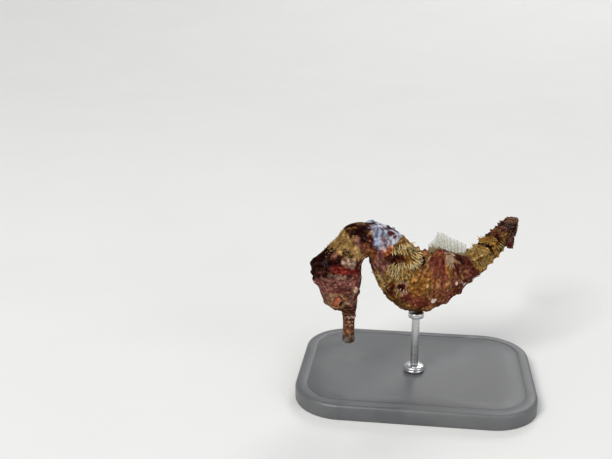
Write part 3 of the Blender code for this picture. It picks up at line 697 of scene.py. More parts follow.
def tube(name, points, values=None, flip=False, places=None):
    """A closed piece from a grid of points, its columns round the tube and its rows along it."""
    rows, columns = points.shape[:2]
    quads, fans = tube_faces(rows, columns)
    if flip:
        quads, fans = quads[:, ::-1], fans[:, ::-1]
    listed = {key: with_poles(value) for key, value in (values or {}).items()}
    return mesh_piece(name, with_poles(points), quads, fans, listed, places)


def finish(piece, material, replaced=()):
    """Gives a piece its material, in a slot, and its body, and hides the solids it stands for."""
    piece.data.materials.append(material)
    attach(piece, "root")
    if replaced:
        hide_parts(*replaced)
    return piece


# Materials


def feed(tree, node, inputs):
    """Sets a node's inputs to values or links them to sockets."""
    for key, value in inputs.items():
        if isinstance(value, bpy.types.NodeSocket):
            tree.links.new(value, node.inputs[key])
        else:
            node.inputs[key].default_value = value
    return node


def add(tree, kind, inputs, **settings):
    made = tree.nodes.new(kind)
    for key, value in settings.items():
        setattr(made, key, value)
    return feed(tree, made, inputs)


def new_material(name):
    """A material, its node tree and the object's own coordinates."""
    made = bpy.data.materials.new(name)
    made.use_nodes = True
    tree = made.node_tree
    return made, tree, add(tree, "ShaderNodeTexCoord", {}).outputs["Object"]


def dress(material, inputs):
    """Feeds the material's shader."""
    tree = material.node_tree
    feed(tree, tree.nodes["Principled BSDF"], inputs)
    return material


def grain(tree, where, size, detail=2.0):
    """Noise between 0 and 1 whose features are about this many millimetres."""
    inputs = {"Vector": where, "Scale": 1 / (size * MM), "Detail": detail, "Roughness": 0.55}
    return add(tree, "ShaderNodeTexNoise", inputs).outputs["Fac"]


def cells(tree, where, size):
    """Distance from the middle of the nearest cell, in cell sizes."""
    inputs = {"Vector": where, "Scale": 1 / (size * MM)}
    return add(tree, "ShaderNodeTexVoronoi", inputs).outputs["Distance"]


def spread(tree, value, low, high, to_low=0.0, to_high=1.0):
    """Maps low..high smoothly to to_low..to_high."""
    inputs = {"Value": value, "From Min": low, "From Max": high, "To Min": to_low, "To Max": to_high}
    return add(tree, "ShaderNodeMapRange", inputs, interpolation_type="SMOOTHSTEP").outputs["Result"]


def blend(tree, share, under, over, way="MIX"):
    """Mixes two colours; way is a blend type."""
    inputs = {0: share, 6: under, 7: over}
    return add(tree, "ShaderNodeMix", inputs, data_type="RGBA", blend_type=way).outputs[2]


def tinted(tree, colour, *tint):
    """The colour times a tint."""
    return blend(tree, 1.0, colour, (*tint, 1), "MULTIPLY")


def product(tree, one, other):
    return add(tree, "ShaderNodeMath", {0: one, 1: other}, operation="MULTIPLY").outputs[0]


def value_of(tree, name, output="Fac"):
    return add(tree, "ShaderNodeAttribute", {}, attribute_name=name).outputs[output]


def bump(tree, height, depth, under=None):
    """Raises the surface by height times depth millimetres, over another bump."""
    inputs = {"Height": height, "Distance": depth * MM, "Strength": 1.0}
    if under is not None:
        inputs["Normal"] = under
    return add(tree, "ShaderNodeBump", inputs).outputs["Normal"]


def skin_material():
    """Mottled skin: the paint, darker and lighter in patches about 1 mm wide, with painted shade in small
    pits, pale grains and a damp sheen."""
    made, tree, where = new_material("mottled_skin")
    colour = value_of(tree, "paint", "Color")
    patches = spread(tree, grain(tree, where, 0.9, 4.0), 0.36, 0.64)
    dark, light = tinted(tree, colour, 0.5, 0.36, 0.36), tinted(tree, colour, 1.35, 1.3, 1.25)
    grey = add(tree, "ShaderNodeRGBToBW", {0: colour}).outputs[0]
    mottled = blend(tree, spread(tree, grey, 0.2, 0.34, 1.0, 0.4), colour, blend(tree, patches, dark, light))
    # Dark dots in cells about 0.85 mm apart: painted shade of small pits, strongest where the paint is dark.
    holes = spread(tree, cells(tree, where, 0.85), 0.12, 0.3, 1.0, 0.0)
    pits = product(tree, holes, spread(tree, grey, 0.2, 0.34, 0.75, 0.1))
    pitted = blend(tree, pits, mottled, tinted(tree, colour, 0.16, 0.1, 0.1))
    grains = cells(tree, where, 0.3)
    sparse = spread(tree, grain(tree, where, 0.6), 0.52, 0.68)
    flecks = product(tree, spread(tree, grains, 0.1, 0.35, 0.8, 0.0), sparse)
    fine = grain(tree, where, 0.16, 3.0)
    beads = spread(tree, grains, 0.0, 0.6, 1.0, 0.0)
    return dress(made, {
        "Base Color": blend(tree, flecks, pitted, tinted(tree, colour, 2.2, 2.3, 2.3)),
        "Roughness": spread(tree, fine, 0.3, 0.7, 0.45, 0.7),
        "Normal": bump(tree, beads, 0.07, bump(tree, fine, 0.06)),
        "Subsurface Weight": 0.06,
        "Subsurface Radius": (1.0, 0.4, 0.25),
        "Subsurface Scale": 0.6 * MM,
        "Specular IOR Level": 0.0,
        "Coat Weight": 0.05,
        "Coat Roughness": 0.25,
    })


def filament_material():
    """Soft skin filaments: the paint, darker in fine patches."""
    made, tree, where = new_material("filament_skin")
    colour = value_of(tree, "paint", "Color")
    streaks = spread(tree, grain(tree, where, 0.3), 0.35, 0.65)
    fine = grain(tree, where, 0.12)
    return dress(made, {
        "Base Color": blend(tree, streaks, tinted(tree, colour, 0.85, 0.78, 0.7), colour),
        "Roughness": spread(tree, fine, 0.3, 0.7, 0.4, 0.6),
        "Normal": bump(tree, fine, 0.03),
        "Subsurface Weight": 0.2,
        "Subsurface Radius": (1.0, 0.6, 0.3),
        "Subsurface Scale": 0.4 * MM,
        "Specular IOR Level": 0.2,
    })


def fin_material(name, web_shown, ray_shown, pale):
    """Thin membrane between bony rays: the rays are denser and browner than the web between them, and both
    fade towards the fin's edge."""
    made, tree, where = new_material(name)
    ray = value_of(tree, "ray")
    cloud = spread(tree, grain(tree, where, 0.7, 3.0), 0.35, 0.65)
    dim, brown = ((*(share * c for c in pale), 1) for share in (0.75, 0.5))
    film = spread(tree, cloud, 0.0, 1.0, 0.6 * web_shown, web_shown)
    solid = add(tree, "ShaderNodeMix", {0: ray, 2: film, 3: ray_shown}, data_type="FLOAT").outputs[0]
    fine = grain(tree, where, 0.2)
    return dress(made, {
        "Base Color": blend(tree, ray, blend(tree, cloud, dim, (*pale, 1)), brown),
        "Alpha": product(tree, solid, value_of(tree, "edge")),
        "Roughness": spread(tree, fine, 0.3, 0.7, 0.4, 0.6),
        "Normal": bump(tree, fine, 0.02),
    })


def eye_material():
    """Wet eyeball: the iris's colours, darker in flecks, under a thin clear coat."""
    made, tree, where = new_material("wet_eye")
    iris = value_of(tree, "iris", "Color")
    fleck = spread(tree, grain(tree, where, 0.12, 3.0), 0.35, 0.65)
    return dress(made, {
        "Base Color": blend(tree, fleck, tinted(tree, iris, 0.6, 0.5, 0.45), iris),
        "Roughness": spread(tree, fleck, 0.0, 1.0, 0.12, 0.25),
        "Specular IOR Level": 0.3,
        "Coat Weight": 0.25,
        "Coat Roughness": 0.03,
    })


def cornea_material():
    """Clear wet film over the eyeball, seen by its gloss only."""
    made, tree, where = new_material("clear_cornea")
    return dress(made, {
        "Base Color": (0.15, 0.15, 0.16, 1),
        "Alpha": spread(tree, grain(tree, where, 0.8), 0.3, 0.7, 0.02, 0.05),
        "Roughness": 0.03,
    })


def stand_paint_material():
    """Satin grey paint with a fine orange-peel surface and faint dust."""
    made, tree, where = new_material("satin_paint")
    cloud = spread(tree, grain(tree, where, 9.0, 5.0), 0.35, 0.65)
    colour = blend(tree, cloud, (0.075, 0.078, 0.082, 1), (0.1, 0.102, 0.105, 1))
    specks = spread(tree, cells(tree, where, 0.6), 0.03, 0.09, 0.25, 0.0)
    return dress(made, {
        "Base Color": blend(tree, specks, colour, (0.3, 0.3, 0.29, 1)),
        "Roughness": spread(tree, cloud, 0.0, 1.0, 0.38, 0.5),
        "Normal": bump(tree, grain(tree, where, 0.35), 0.02),
    })


def stand_steel_material():
    """Steel brushed round its axis: fine streaks squeezed along the height."""
    made, tree, where = new_material("brushed_steel")
    squeeze = add(tree, "ShaderNodeMapping", {"Vector": where, "Scale": (1, 1, 30)}).outputs[0]
    streaks = grain(tree, squeeze, 1.2, 4.0)
    shade = spread(tree, streaks, 0.3, 0.7)
    return dress(made, {
        "Base Color": blend(tree, shade, (0.42, 0.42, 0.43, 1), (0.66, 0.66, 0.67, 1)),
        "Roughness": spread(tree, streaks, 0.3, 0.7, 0.24, 0.42),
        "Normal": bump(tree, streaks, 0.01),
        "Metallic": 1.0,
    })


def floor_material():
    """Pale matt studio floor."""
    made, tree, where = new_material("pale_floor")
    shade = blend(tree, grain(tree, where, 60.0, 3.0), (0.62, 0.62, 0.61, 1), (0.66, 0.66, 0.65, 1))
    return dress(made, {"Base Color": shade, "Roughness": 0.85})


# The body

COLUMNS = 156
SNOUT_ROWS = 60
HEAD_ROWS = 104
TRUNK_RING_ROWS = 21
TAIL_RING_ROWS = 6


def body_runs():
    """Runs of the grid's rows: even along the snout and head, and a whole number for each bony ring."""
    snout = np.linspace(0, SNOUT_END, SNOUT_ROWS, endpoint=False)
    head = np.linspace(SNOUT_END, HEAD_END, HEAD_ROWS, endpoint=False)
    trunk = ring_run(np.arange(TRUNK_RINGS * TRUNK_RING_ROWS) / TRUNK_RING_ROWS)
    tail = ring_run(TRUNK_RINGS + np.arange(TAIL_RINGS * TAIL_RING_ROWS + 1) / TAIL_RING_ROWS)
    return np.concatenate([snout, head, trunk, tail])


def end_rings(run, shares, rise, turns):
    """Rings that close an end of the body: the end ring shrunk by each share and moved along the axis by
    rise (1 - share^2)."""
    ahead, _, _ = frames(run)
    ring = skin(run, turns)
    centre = axis(run)
    shares = np.asarray(shares)[:, None, None]
    return centre + (ring - centre) * shares + ahead * rise * (1 - shares**2)


def mouth_rings(turns):
    """The snout's blunt tip, with the mouth as a slit from side to side: a groove whose depth is a bell of
    the height over it, fading out at the corners. Also returns how deep in the slit each point is."""
    shares = np.linspace(0.06, 0.95, 15)
    rings = end_rings(0.0, shares, -0.45, turns)
    ahead, back, flank = frames(0.0)
    offset = rings - axis(0.0)
    high, wide = offset @ back, offset @ flank
    slit = bell(high, 0.22 + 0.12 * wide**2, 0.2) * (1 - ease(np.abs(wide), 0.75, 1.05))
    return rings + 0.75 * slit[..., None] * ahead, slit


BAKE_BANDS = ((0.0, 30.0), (30.0, 62.0), (62.0, TAIL_END))  # runs of the bands of the bake's map


def places_in_band(run, turn, band_run):
    """Places in the bake's map for corners of a face whose middle is at band_run. The head, the trunk and
    the tail are three bands, one over the other, with the run across and the turn up."""
    low, high = np.array(BAKE_BANDS).T
    band = np.searchsorted(low[1:], band_run, side="right")
    u = 0.01 + 0.98 * (run - low[band]) / (high[band] - low[band])
    v = (band + 0.02 + 0.96 * turn / 360) / 3
    return np.stack(np.broadcast_arrays(u, v), -1)


def skin_places(order):
    """Places in the bake's map for the corners of the skin's quads and of the fans at its ends. `order` is
    the run at which the map has each ring."""
    row, col = np.meshgrid(np.arange(len(order) - 1), np.arange(COLUMNS), indexing="ij")
    run = order[np.stack([row, row, row + 1, row + 1], -1).reshape(-1, 4)]
    turn = np.stack([col, col + 1, col + 1, col], -1).reshape(-1, 4) * 360 / COLUMNS
    parts = [places_in_band(run, turn, run.mean(-1, keepdims=True))]
    ring = np.arange(COLUMNS)
    for foot, runs in (((ring + 1, ring), (order[0], order[0], 0.0)), ((ring, ring + 1), (TAIL_END,) * 3)):
        turn = np.stack([*foot, ring + 0.5], -1) * 360 / COLUMNS
        parts.append(places_in_band(np.broadcast_to(runs, turn.shape), turn, np.full((1, 1), runs[-1])))
    return np.concatenate([part.reshape(-1, 2) for part in parts])


MOUTH_STRIP = (0.6, 0.65)  # the map's runs where the mouth's rings end and the body's begin


def make_skin(material):
    """The whole skin as one tube, from the slit of the mouth to the rounded tip of the tail."""
    turns = np.arange(COLUMNS) * 360 / COLUMNS
    runs = body_runs()
    mouth, slit = mouth_rings(turns)
    tip = end_rings(TAIL_END, (0.85, 0.5), 0.3, turns)
    points = np.concatenate([mouth, skin(runs[:, None], turns), tip])
    tip_runs = np.full(len(tip), TAIL_END)
    colour = paint(np.concatenate([np.zeros(len(mouth)), runs, tip_runs])[:, None], turns, points)
    inside = np.zeros(points.shape[:2])
    inside[: len(mouth)] = slit
    # The mouth's slit is darkened with the crown ink: painted shade inside the mouth.
    colour = mix(colour, INK["crown"], ease(inside, 0.2, 0.7))
    mouth_ends, start = MOUTH_STRIP
    map_runs = [np.linspace(0, mouth_ends, len(mouth)), start + runs * (1 - start / TAIL_END), tip_runs]
    piece = tube("skin", points, {"paint": colour}, places=skin_places(np.concatenate(map_runs)))
    nodes = ["mouth", "snout", "head", "coronet", "neck", "trunk_front", "trunk_middle", "trunk_rear"]
    nodes += [f"tail_{k}" for k in range(1, 7)]
    return finish(piece, material, nodes)


# Eyes


def ball_grid(centre, axes, radius, rows, columns, bulge=0.0):
    """A ball whose rows run from the pole at its front to the one behind: point = centre + radius
    (sin a (cos b across + sin b up) + cos a out), with the front raised by bulge exp(-(a / 40)^2)."""
    across, up, out = axes
    a = np.linspace(0, np.pi, rows + 2)[1:-1, None]
    b = np.arange(columns) * 2 * np.pi / columns
    r = radius + bulge * np.exp(-((np.degrees(a) / 40) ** 2))
    flat = np.sin(a)[..., None] * (np.cos(b)[:, None] * across + np.sin(b)[:, None] * up)
    return centre + r[..., None] * (flat + np.cos(a)[..., None] * out), np.degrees(a), np.degrees(b)


def make_eye(hand, side, wet, clear):
    """The eyeball with a dark-edged orange iris, streaked from its middle outwards, a black pupil sunk a
    little in a thin gold ring, painted shade where the ball turns under the lids, and the clear film over
    it."""
    centre, across, up, out = eye_axes(side, GAZE_TURN, GAZE_DIP)
    points, a, b = ball_grid(centre, (across, up, out), EYEBALL, 70, 120)
    size = math.degrees(PUPIL / EYEBALL)
    a = np.broadcast_to(a, points.shape[:2])
    dip = 0.1 * (1 - ease(a, 0.6 * size, 1.3 * size))
    points = points - dip[..., None] * out
    streaks = 0.5 + 0.5 * np.cos(np.radians(b * IRIS_STREAKS) + 2.5 * noise(points, 0.4, 21))
    layers = (
        ("iris_streak", streaks),
        ("iris_rim", ease(a, 45, 66)),
        ("pupil_ring", 0.7 * bell(a, 1.3 * size, 2.5)),
        ("pupil", 1 - ease(a, 0.95 * size, 1.15 * size)),
        # eye_edge: painted shade where the eyeball turns under the lids.
        ("eye_edge", ease(a, 70, 84)),
    )
    colour = lay(np.full((*a.shape, 3), INK["iris"]), layers)
    ball = tube(f"eyeball_{hand}", points, {"iris": colour}, flip=side < 0)
    finish(ball, wet, [f"eye_{hand}"])
    film, _, _ = ball_grid(centre, (across, up, out), EYEBALL + CORNEA_LIFT, 40, 72, CORNEA_BULGE)
    finish(tube(f"cornea_{hand}", film, flip=side < 0), clear)


# Fins


def web_grid(feet, tips, side, rays, thick, film):
    """A fin as one thin closed tube: each row goes from foot to tip on one face and back on the other.
    Across it, the thickness is film + (thick - film) times a cosine power that peaks on the rays."""
    count, steps = len(feet), 14
    u = np.linspace(0, rays - 1, count)
    ray = (0.5 + 0.5 * np.cos(2 * np.pi * u)) ** 4
    v = np.linspace(0, 1, steps)
    reach = 1 - 0.05 * (1 - ray)
    line = feet[:, None] + (tips - feet)[:, None] * (v * reach[:, None])[..., None]
    ripple = 0.22 * np.sin(u[:, None] * 1.3 + 1.5 * v) * v**1.5
    line = line + ripple[..., None] * side[:, None]
    half = 0.5 * (film + (thick - film) * ray[:, None] * (1 - 0.6 * v)) * np.sqrt(1.02 - v**6)
    faces = [line + half[..., None] * side[:, None], (line - half[..., None] * side[:, None])[:, ::-1]]
    shown = ray[:, None] * (1 - 0.35 * v)
    edge = np.broadcast_to(1 - 0.65 * v**2, shown.shape)
    values = {"ray": np.concatenate([shown, shown[:, ::-1]], 1),
              "edge": np.concatenate([edge, edge[:, ::-1]], 1)}
    return np.concatenate(faces, 1), values


def make_ridge_fin(name, node, shape, material):
    """A fin on the middle line: its outline is an arch, and its rays spread like a fan."""
    count = (shape["rays"] - 1) * RAY_STEPS + 1
    runs = np.linspace(shape["start"], shape["end"], count)
    ahead, back, flank = frames(runs)
    upright = back if shape["turn"] == 0 else -back
    along = np.linspace(0, 1, count)
    rise = shape["height"] * np.sin(np.pi * (0.06 + 0.84 * along)) ** 0.6
    feet = skin(runs, shape["turn"]) - upright * 0.3
    tips = feet + upright * (rise + 0.3)[:, None] + ahead * np.linspace(*shape["sweep"], count)[:, None]
    points, values = web_grid(feet, tips, flank, shape["rays"], 0.2, 0.06)
    finish(tube(name, points, values, flip=shape["turn"] == 0), material, [node])


def make_pectoral_fin(hand, side, material):
    """A small fan behind the gill cover, hinged on an upright base and spread to the tail."""
    count = (PECTORAL_RAYS - 1) * RAY_STEPS + 1
    turn = side * PECTORAL_TURN
    ahead, back, _ = frames(PECTORAL_RUN)
    normal = outward(PECTORAL_RUN, turn)
    root = skin(PECTORAL_RUN, turn) + normal * 0.1
    angles = np.radians(np.linspace(-PECTORAL_SPREAD, PECTORAL_SPREAD, count))
    way = 0.9 * ahead + 0.44 * normal
    rays = np.cos(angles)[:, None] * way + np.sin(angles)[:, None] * back
    feet = root + back * np.linspace(-PECTORAL_BASE / 2, PECTORAL_BASE / 2, count)[:, None]
    reach = PECTORAL_LENGTH * (0.82 + 0.18 * np.cos(2 * angles))
    tips = feet + rays * reach[:, None]
    leaf = np.tile(unit(np.cross(back, way)), (count, 1))
    points, values = web_grid(feet, tips, leaf, PECTORAL_RAYS, 0.14, 0.05)
    web = tube(f"pectoral_web_{hand}", points, values, flip=side > 0)
    finish(web, material, [f"pectoral_fin_{hand}"])


# Skin filaments

BLADE_STEPS = 5
BLADE_SIDES = 3
BLADE_REACH = 0.9  # how far along a filament its last ring is
PATCH = 0.003  # width of a filament's patch in the bake's map


def blades(name, roots, ways, bends, lengths, widths, colours, tips, homes, material):
    """Many tapered filaments in one mesh. Each runs along root + length (way t + bend t^2) with t from 0 to
    1, three-sided, its radius falling as 1 - 0.75 t^1.5 to a point; colours go from root to tip. `homes`
    are their roots' places in the bake's map, round which each has its patch."""
    share = np.linspace(0, BLADE_REACH, BLADE_STEPS)
    t = share[None, :, None, None]
    angle = np.arange(BLADE_SIDES) * 2 * np.pi / BLADE_SIDES
    first = unit(np.cross(ways, bends + 0.137))[:, None, None]
    second = unit(np.cross(ways[:, None, None], first))
    length, width = lengths[:, None, None, None], widths[:, None, None, None]
    middle = roots[:, None, None] + length * (ways[:, None, None] * t + bends[:, None, None] * t**2)
    round_it = first * np.cos(angle)[None, None, :, None] + second * np.sin(angle)[None, None, :, None]
    body = middle + width * (1 - 0.75 * t**1.5) * round_it
    end = roots + lengths[:, None] * (ways + bends)
    count, tip = len(roots), BLADE_STEPS * BLADE_SIDES
    points = np.concatenate([body.reshape(count, tip, 3), end[:, None]], 1)
    ring = np.arange(BLADE_SIDES)
    last = tip - BLADE_SIDES
    top = np.stack([last + ring, last + (ring + 1) % BLADE_SIDES, np.full(BLADE_SIDES, tip)], -1)
    start = (np.arange(count) * (tip + 1))[:, None, None]
    quads = (start + grid_quads(BLADE_STEPS, BLADE_SIDES)).reshape(-1, 4)
    caps = (start + np.concatenate([top, [ring[::-1]]])).reshape(-1, 3)
    share = np.append(np.repeat(share, BLADE_SIDES), 1.0)
    shade = mix(np.broadcast_to(colours[:, None], (count, tip + 1, 3)), tips[:, None], share**0.8)
    across = np.append(np.tile(np.linspace(-1, 1, BLADE_SIDES), BLADE_STEPS), 0)
    places = (homes[:, None] + np.stack([across, 2 * share - 1], -1) * PATCH / 2).reshape(-1, 2)
    corners = places[np.concatenate([quads.ravel(), caps.ravel()])]
    values = {"paint": shade.reshape(-1, 3)}
    finish(mesh_piece(name, points.reshape(-1, 3), quads, caps, values, corners), material)


# Fields of tufts: length, radius, filaments in a tuft, the line of their roots, how far they stand off the
# skin, ink of the roots, ink of the tips and the tufts' clumps: run, turn, reach along and round the body
# in millimetres and degrees, tufts, and the angle in which they lie, from the tail to the belly
FIELDS = {
    "head_filaments": (0.45, 0.05, 3, 0.5, 0.9, "wine", "shell", (
        (14, 70, 2.5, 45, 14, 20), (19, 90, 2.5, 50, 18, 20),
    )),
    "nape_filaments": (1.2, 0.1, 5, 0.9, 0.45, "honey", "tan", (
        (23.8, 16, 0.7, 30, 20, 80), (24.6, 48, 0.5, 14, 8, 80),
    )),
    "shoulder_filaments": (1.8, 0.17, 4, 0.9, 0.45, "tan", "straw", (
        (32.9, 66, 0.3, 4, 2, 55), (33.8, 48, 0.4, 5, 3, 60), (35.6, 44, 0.4, 6, 3, 20),
        (37.2, 34, 0.6, 7, 5, -5), (38, 54, 0.5, 6, 5, 5), (39, 66, 0.4, 5, 4, 15),
        (37.6, 74, 0.4, 4, 2, 30), (36.2, 87, 0.4, 4, 4, 50), (36.2, 101, 0.4, 5, 4, 65),
        (36.8, 112, 0.5, 5, 2, 75), (38, 96, 0.4, 4, 2, 40),
    )),
    "shoulder_tips": (1.1, 0.16, 4, 0.8, 0.5, "tan", "white", (
        (34.8, 42, 0.3, 4, 3, 45), (36, 34, 0.4, 5, 2, 0), (39.8, 54, 0.4, 5, 3, 0),
        (39.3, 106, 0.3, 3, 1, 45), (41.9, 116, 0.2, 2, 1, 45),
    )),
    "chest_filaments": (1.3, 0.15, 4, 0.8, 0.35, "honey", "straw", (
        (37, 144, 0.5, 7, 4, 90), (38.8, 138, 0.4, 6, 1, 80), (41.4, 132, 0.4, 5, 1, 60),
    )),
    "trunk_filaments": (1.4, 0.15, 4, 0.8, 0.4, "tan", "white", (
        (53.2, 26, 0.3, 5, 2, 90), (52, 38, 0.4, 5, 2, 60), (53, 38, 0.3, 5, 3, 90),
        (54.2, 40, 0.4, 5, 2, 120), (53.2, 50, 0.3, 4, 2, 90),
    )),
    "tail_root_filaments": (1.6, 0.16, 4, 0.9, 0.35, "gold", "wheat", (
        (61.3, 30, 0.5, 30, 4, 100), (63, 20, 0.5, 35, 5, 95), (64.7, 30, 0.4, 40, 6, 95),
        (68.4, 20, 0.15, 20, 3, 95), (68.2, 60, 0.15, 8, 1, 95), (69.6, 70, 0.3, 12, 1, 95),
        (63, 98, 0.6, 10, 2, 120),
    )),
    "tail_filaments": (0.7, 0.08, 3, 0.6, 0.5, "deep", "lid", (
        (76, 60, 4, 60, 20, 10), (92, 60, 8, 70, 24, 0),
    )),
}


def scatter(draw, clumps):
    """Runs, turns and angles of tufts: round the middle of each clump on both sides, by normal
    distributions cut off at 1.6 times its reach."""
    places = []
    for run, turn, along, around, tufts, bearing in clumps:
        off = np.clip(draw.normal(0, 0.8, (2 * tufts, 2)), -1.6, 1.6)
        side = np.where(np.arange(2 * tufts) % 2 == 0, 1, -1)
        course = np.full(2 * tufts, float(bearing))
        places.append(np.stack([run + along * off[:, 0], side * (turn + around * off[:, 1]), course], -1))
    return np.concatenate(places).T


def make_field(seed, name, material):
    """One field: each tuft is a comb of filaments that lie along the skin, side by side from a short line
    of roots across their way, a little fanned, with painted shade at the root and pale tips, partly painted
    highlight."""
    length, width, each, comb, stand, root_ink, tip_ink, clumps = FIELDS[name]
    draw = np.random.default_rng(seed)
    run, turn, course = scatter(draw, clumps)
    course = np.repeat(np.radians(course + draw.normal(0, 14, len(run))), each)
    shade = np.repeat(draw.uniform(0.65, 1.15, len(run)), each)[:, None]
    run, turn = np.repeat(run, each), np.repeat(turn, each)
    count = len(run)
    spot = np.tile(np.linspace(-1, 1, each), count // each)
    height, side = plain_section(run, turn)
    down = np.sign(turn)
    run = run - comb * spot * np.sin(course) + draw.normal(0, 0.06, count)
    turn = turn + down * np.degrees(comb * spot * np.cos(course) / np.hypot(height, side))
    roots = skin(run, turn)
    normal = outward(run, turn)
    belly = unit(skin(run, turn + 2) - skin(run, turn - 2)) * down[:, None]
    ahead = unit(np.cross(normal, belly) * down[:, None])
    cosine, sine = np.cos(course)[:, None], np.sin(course)[:, None]
    fan = (0.25 * spot + draw.normal(0, 0.1, count))[:, None]
    ways = unit(cosine * ahead + sine * belly + stand * normal + fan * (cosine * belly - sine * ahead))
    bends = -0.05 * normal + draw.normal(0, 0.08, (count, 3))
    lengths = length * draw.uniform(0.7, 1.15, count) * (1 - 0.25 * np.abs(spot))
    widths = width * draw.uniform(0.8, 1.15, count)
    colours = mix(paint(run, turn, roots), INK[root_ink], draw.uniform(0.5, 1.0, count))
    tips = mix(colours, INK[tip_ink], draw.uniform(0.7, 1.0, count))
    homes = places_in_band(run, turn % 360, run)
    roots = roots - 0.08 * normal
    # Roots times 0.6: painted shade at the filaments' bases; the pale tip inks are partly their own cream
    # colour and partly painted highlight.
    blades(name, roots, ways, bends, lengths, widths, colours * 0.6 * shade, tips * shade, homes, material)


# The stand


def turned(centre, profile, segments=96):
    """A turned piece: each row is a circle of a radius at a height, from a list of (radius, height)."""
    angle = np.arange(segments) * 2 * np.pi / segments
    radius, height = np.array(profile, float).T
    circle = np.stack([np.cos(angle), np.sin(angle)], -1)
    flat = np.asarray(centre)[:2] + radius[:, None, None] * circle
    return np.concatenate([flat, np.broadcast_to(height[:, None, None], (*flat.shape[:2], 1))], -1)


def rounded(radius, low, high, edge, steps=5):
    """Profile of a disc with quarter-round edges, from its underside to its top."""
    angles = np.linspace(0, np.pi / 2, steps)
    lower = [(0.3 * radius, low), (0.8 * radius, low)]
    lower += [(radius - edge + edge * math.sin(a), low + edge - edge * math.cos(a)) for a in angles]
    return [*lower, *((r, high + low - h) for r, h in lower[::-1])]


def box_of(node):
    low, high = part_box(node)
    return np.array(low) / MM, np.array(high) / MM


def collar_profile(wide, low, high):
    """Profile of the collar, from its underside to its top: small chamfers and a narrow groove."""
    foot = [(0.6, low), (wide - 0.15, low), (wide, low + 0.15), (wide, low + 0.55)]
    groove = [(wide - 0.1, low + 0.6), (wide - 0.1, low + 0.7), (wide, low + 0.75)]
    return [*foot, *groove, (wide, high - 0.3), (wide - 0.3, high), (1.2, high), (0.6, high)]


def make_turned(name, material, profile):
    """A turned piece for the stand's solid of this name, its profile a function of the solid's half width
    and the heights of its underside and top."""
    node = f"stand_{name}"
    low, high = box_of(node)
    points = turned((low + high) / 2, profile((high - low)[0] / 2, low[2], high[2]))
    finish(tube(name, points), material, [node])


BASE_CORNER = 12.0
BASE_EDGE = 0.9


def make_base(paint_finish):
    """The base: rings of one rounded-rectangle outline, inset along a profile with a rolled top edge and a
    shallow groove round the plate. An inset moves a rounded rectangle's corner arcs inwards."""
    low, high = box_of("stand_base")
    half = (high - low)[:2] / 2
    quarter = np.linspace(0, 90, 25)
    angle = np.radians(np.concatenate([quarter + 90 * k for k in range(4)]))
    middle = np.repeat([(1, 1), (-1, 1), (-1, -1), (1, -1)], len(quarter), 0) * (half - BASE_CORNER)
    way = np.stack([np.cos(angle), np.sin(angle)], -1)
    top, roll = high[2], np.linspace(0, np.pi / 2, 7)
    profile = [(7.0, low[2]), (0.5, low[2]), (0.12, low[2] + 0.05), (0.0, low[2] + 0.3)]
    turn_in, rise = BASE_EDGE * (1 - np.cos(roll)), BASE_EDGE * (np.sin(roll) - 1)
    profile += zip(turn_in, top + rise)
    groove = ((2.6, 0), (2.7, 0.04), (2.85, 0.14), (3.05, 0.14), (3.2, 0.04), (3.3, 0))
    profile += [*((inset, top - depth) for inset, depth in groove), (7.0, top), (11.0, top)]
    rings = []
    for inset, z in profile:
        rings.append(np.column_stack([middle + way * (BASE_CORNER - inset), np.full(len(way), z)]))
    finish(tube("stand_plate", np.array(rings)), paint_finish, ["stand_base"])


PAD_RISE = 0.4  # takes the pad up to the skin


def make_stand():
    steel = stand_steel_material()
    make_base(stand_paint_material())
    make_turned("collar", steel, collar_profile)
    make_turned("rod", steel, lambda wide, low, high: rounded(wide, low, high, 0.12))
    make_turned("pad", steel, lambda wide, low, high: rounded(wide, low, high + PAD_RISE, 0.3))


# Floor, lights and camera


FLOOR_MIDDLE = (0.0, -600.0)
FLOOR_RADIUS = 1050.0  # of its flat part
BOWL_SIZE = 1500.0


def make_floor():
    """A studio bowl, turned round an upright line: flat in the middle, then up along a quarter circle."""
    bend = np.linspace(0, np.pi / 2, 24)
    flat = [(radius, 0) for radius in np.linspace(0, FLOOR_RADIUS, 12)[1:-1]]
    radius, height = FLOOR_RADIUS + BOWL_SIZE * np.sin(bend), BOWL_SIZE * (1 - np.cos(bend))
    points = turned(FLOOR_MIDDLE, [*flat, *zip(radius, height)])
    rows, columns = points.shape[:2]
    quads, fans = tube_faces(rows, columns)
    floor = mesh_piece("floor", with_poles(points)[:-1], quads[:, ::-1], fans[:columns, ::-1])
    floor.data.materials.append(floor_material())


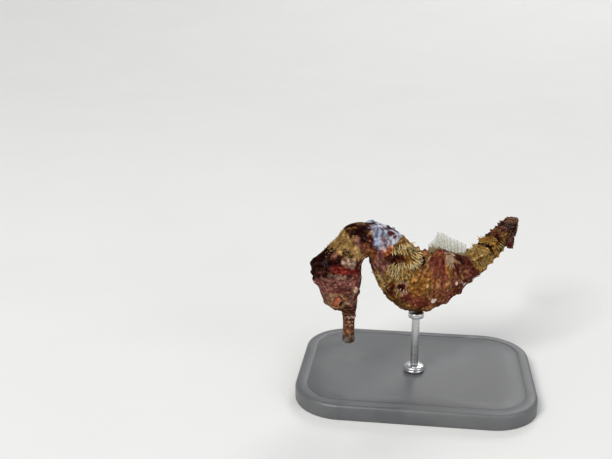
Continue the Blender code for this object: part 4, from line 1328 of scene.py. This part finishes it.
def make_light(name, place_mm, aim_mm, size_mm, watts, colour):
    data = bpy.data.lights.new(name, "AREA")
    data.shape = "DISK"
    data.size = size_mm * MM
    data.energy = watts
    data.color = colour
    made = bpy.data.objects.new(name, data)
    made.location = np.array(place_mm) * MM
    way = np.array(aim_mm, float) - place_mm
    heading, tilt = math.atan2(way[1], way[0]), math.atan2(math.hypot(way[0], way[1]), -way[2])
    made.rotation_euler = (tilt, 0, heading - math.pi / 2)
    bpy.context.scene.collection.objects.link(made)


def make_lights():
    """A large soft key from the upper left, a fill from the right and a rim light from behind."""
    aim = (0, 10, 25)
    make_light("key", (-650, -1050, 1150), aim, 750, 27.0, (1.0, 0.98, 0.95))
    make_light("fill", (1050, -750, 560), aim, 800, 6.5, (0.95, 0.97, 1.0))
    make_light("rim", (300, 1150, 1050), aim, 700, 8.0, (1.0, 1.0, 1.0))
    world = bpy.data.worlds.new("studio")
    world.use_nodes = True
    background = world.node_tree.nodes["Background"]
    background.inputs["Color"].default_value = (0.86, 0.89, 0.93, 1)
    background.inputs["Strength"].default_value = 0.42
    bpy.context.scene.world = world


CAMERA_PLACE = (-1.1, -203.7, 105.1)
CAMERA_PAN = 7.77
CAMERA_TILT = 17.44


def make_camera():
    """Looks down on the model from its left side."""
    data = bpy.data.cameras.new("camera")
    data.sensor_width = 36.0
    data.lens = 50.0
    data.clip_start = 0.01
    made = bpy.data.objects.new("camera", data)
    made.location = np.array(CAMERA_PLACE) * MM
    made.rotation_euler = (math.radians(90 - CAMERA_TILT), 0, math.radians(CAMERA_PAN))
    bpy.context.scene.collection.objects.link(made)
    bpy.context.scene.camera = made


def main():
    bpy.context.scene.view_settings.view_transform = "Standard"
    make_camera()
    make_lights()
    make_floor()
    make_skin(skin_material())
    wet, clear = eye_material(), cornea_material()
    make_eye("left", 1, wet, clear)
    make_eye("right", -1, wet, clear)
    membrane = fin_material("fin_membrane", 0.5, 0.62, (0.36, 0.34, 0.2))
    clear_web = fin_material("clear_fin_membrane", 0.08, 0.28, (0.34, 0.2, 0.1))
    make_ridge_fin("dorsal_web", "dorsal_fin", DORSAL_FIN, membrane)
    make_ridge_fin("anal_web", "anal_fin", ANAL_FIN, membrane)
    make_pectoral_fin("left", 1, clear_web)
    make_pectoral_fin("right", -1, clear_web)
    soft = filament_material()
    for seed, name in enumerate(FIELDS):
        make_field(seed, name, soft)
    make_stand()


main()
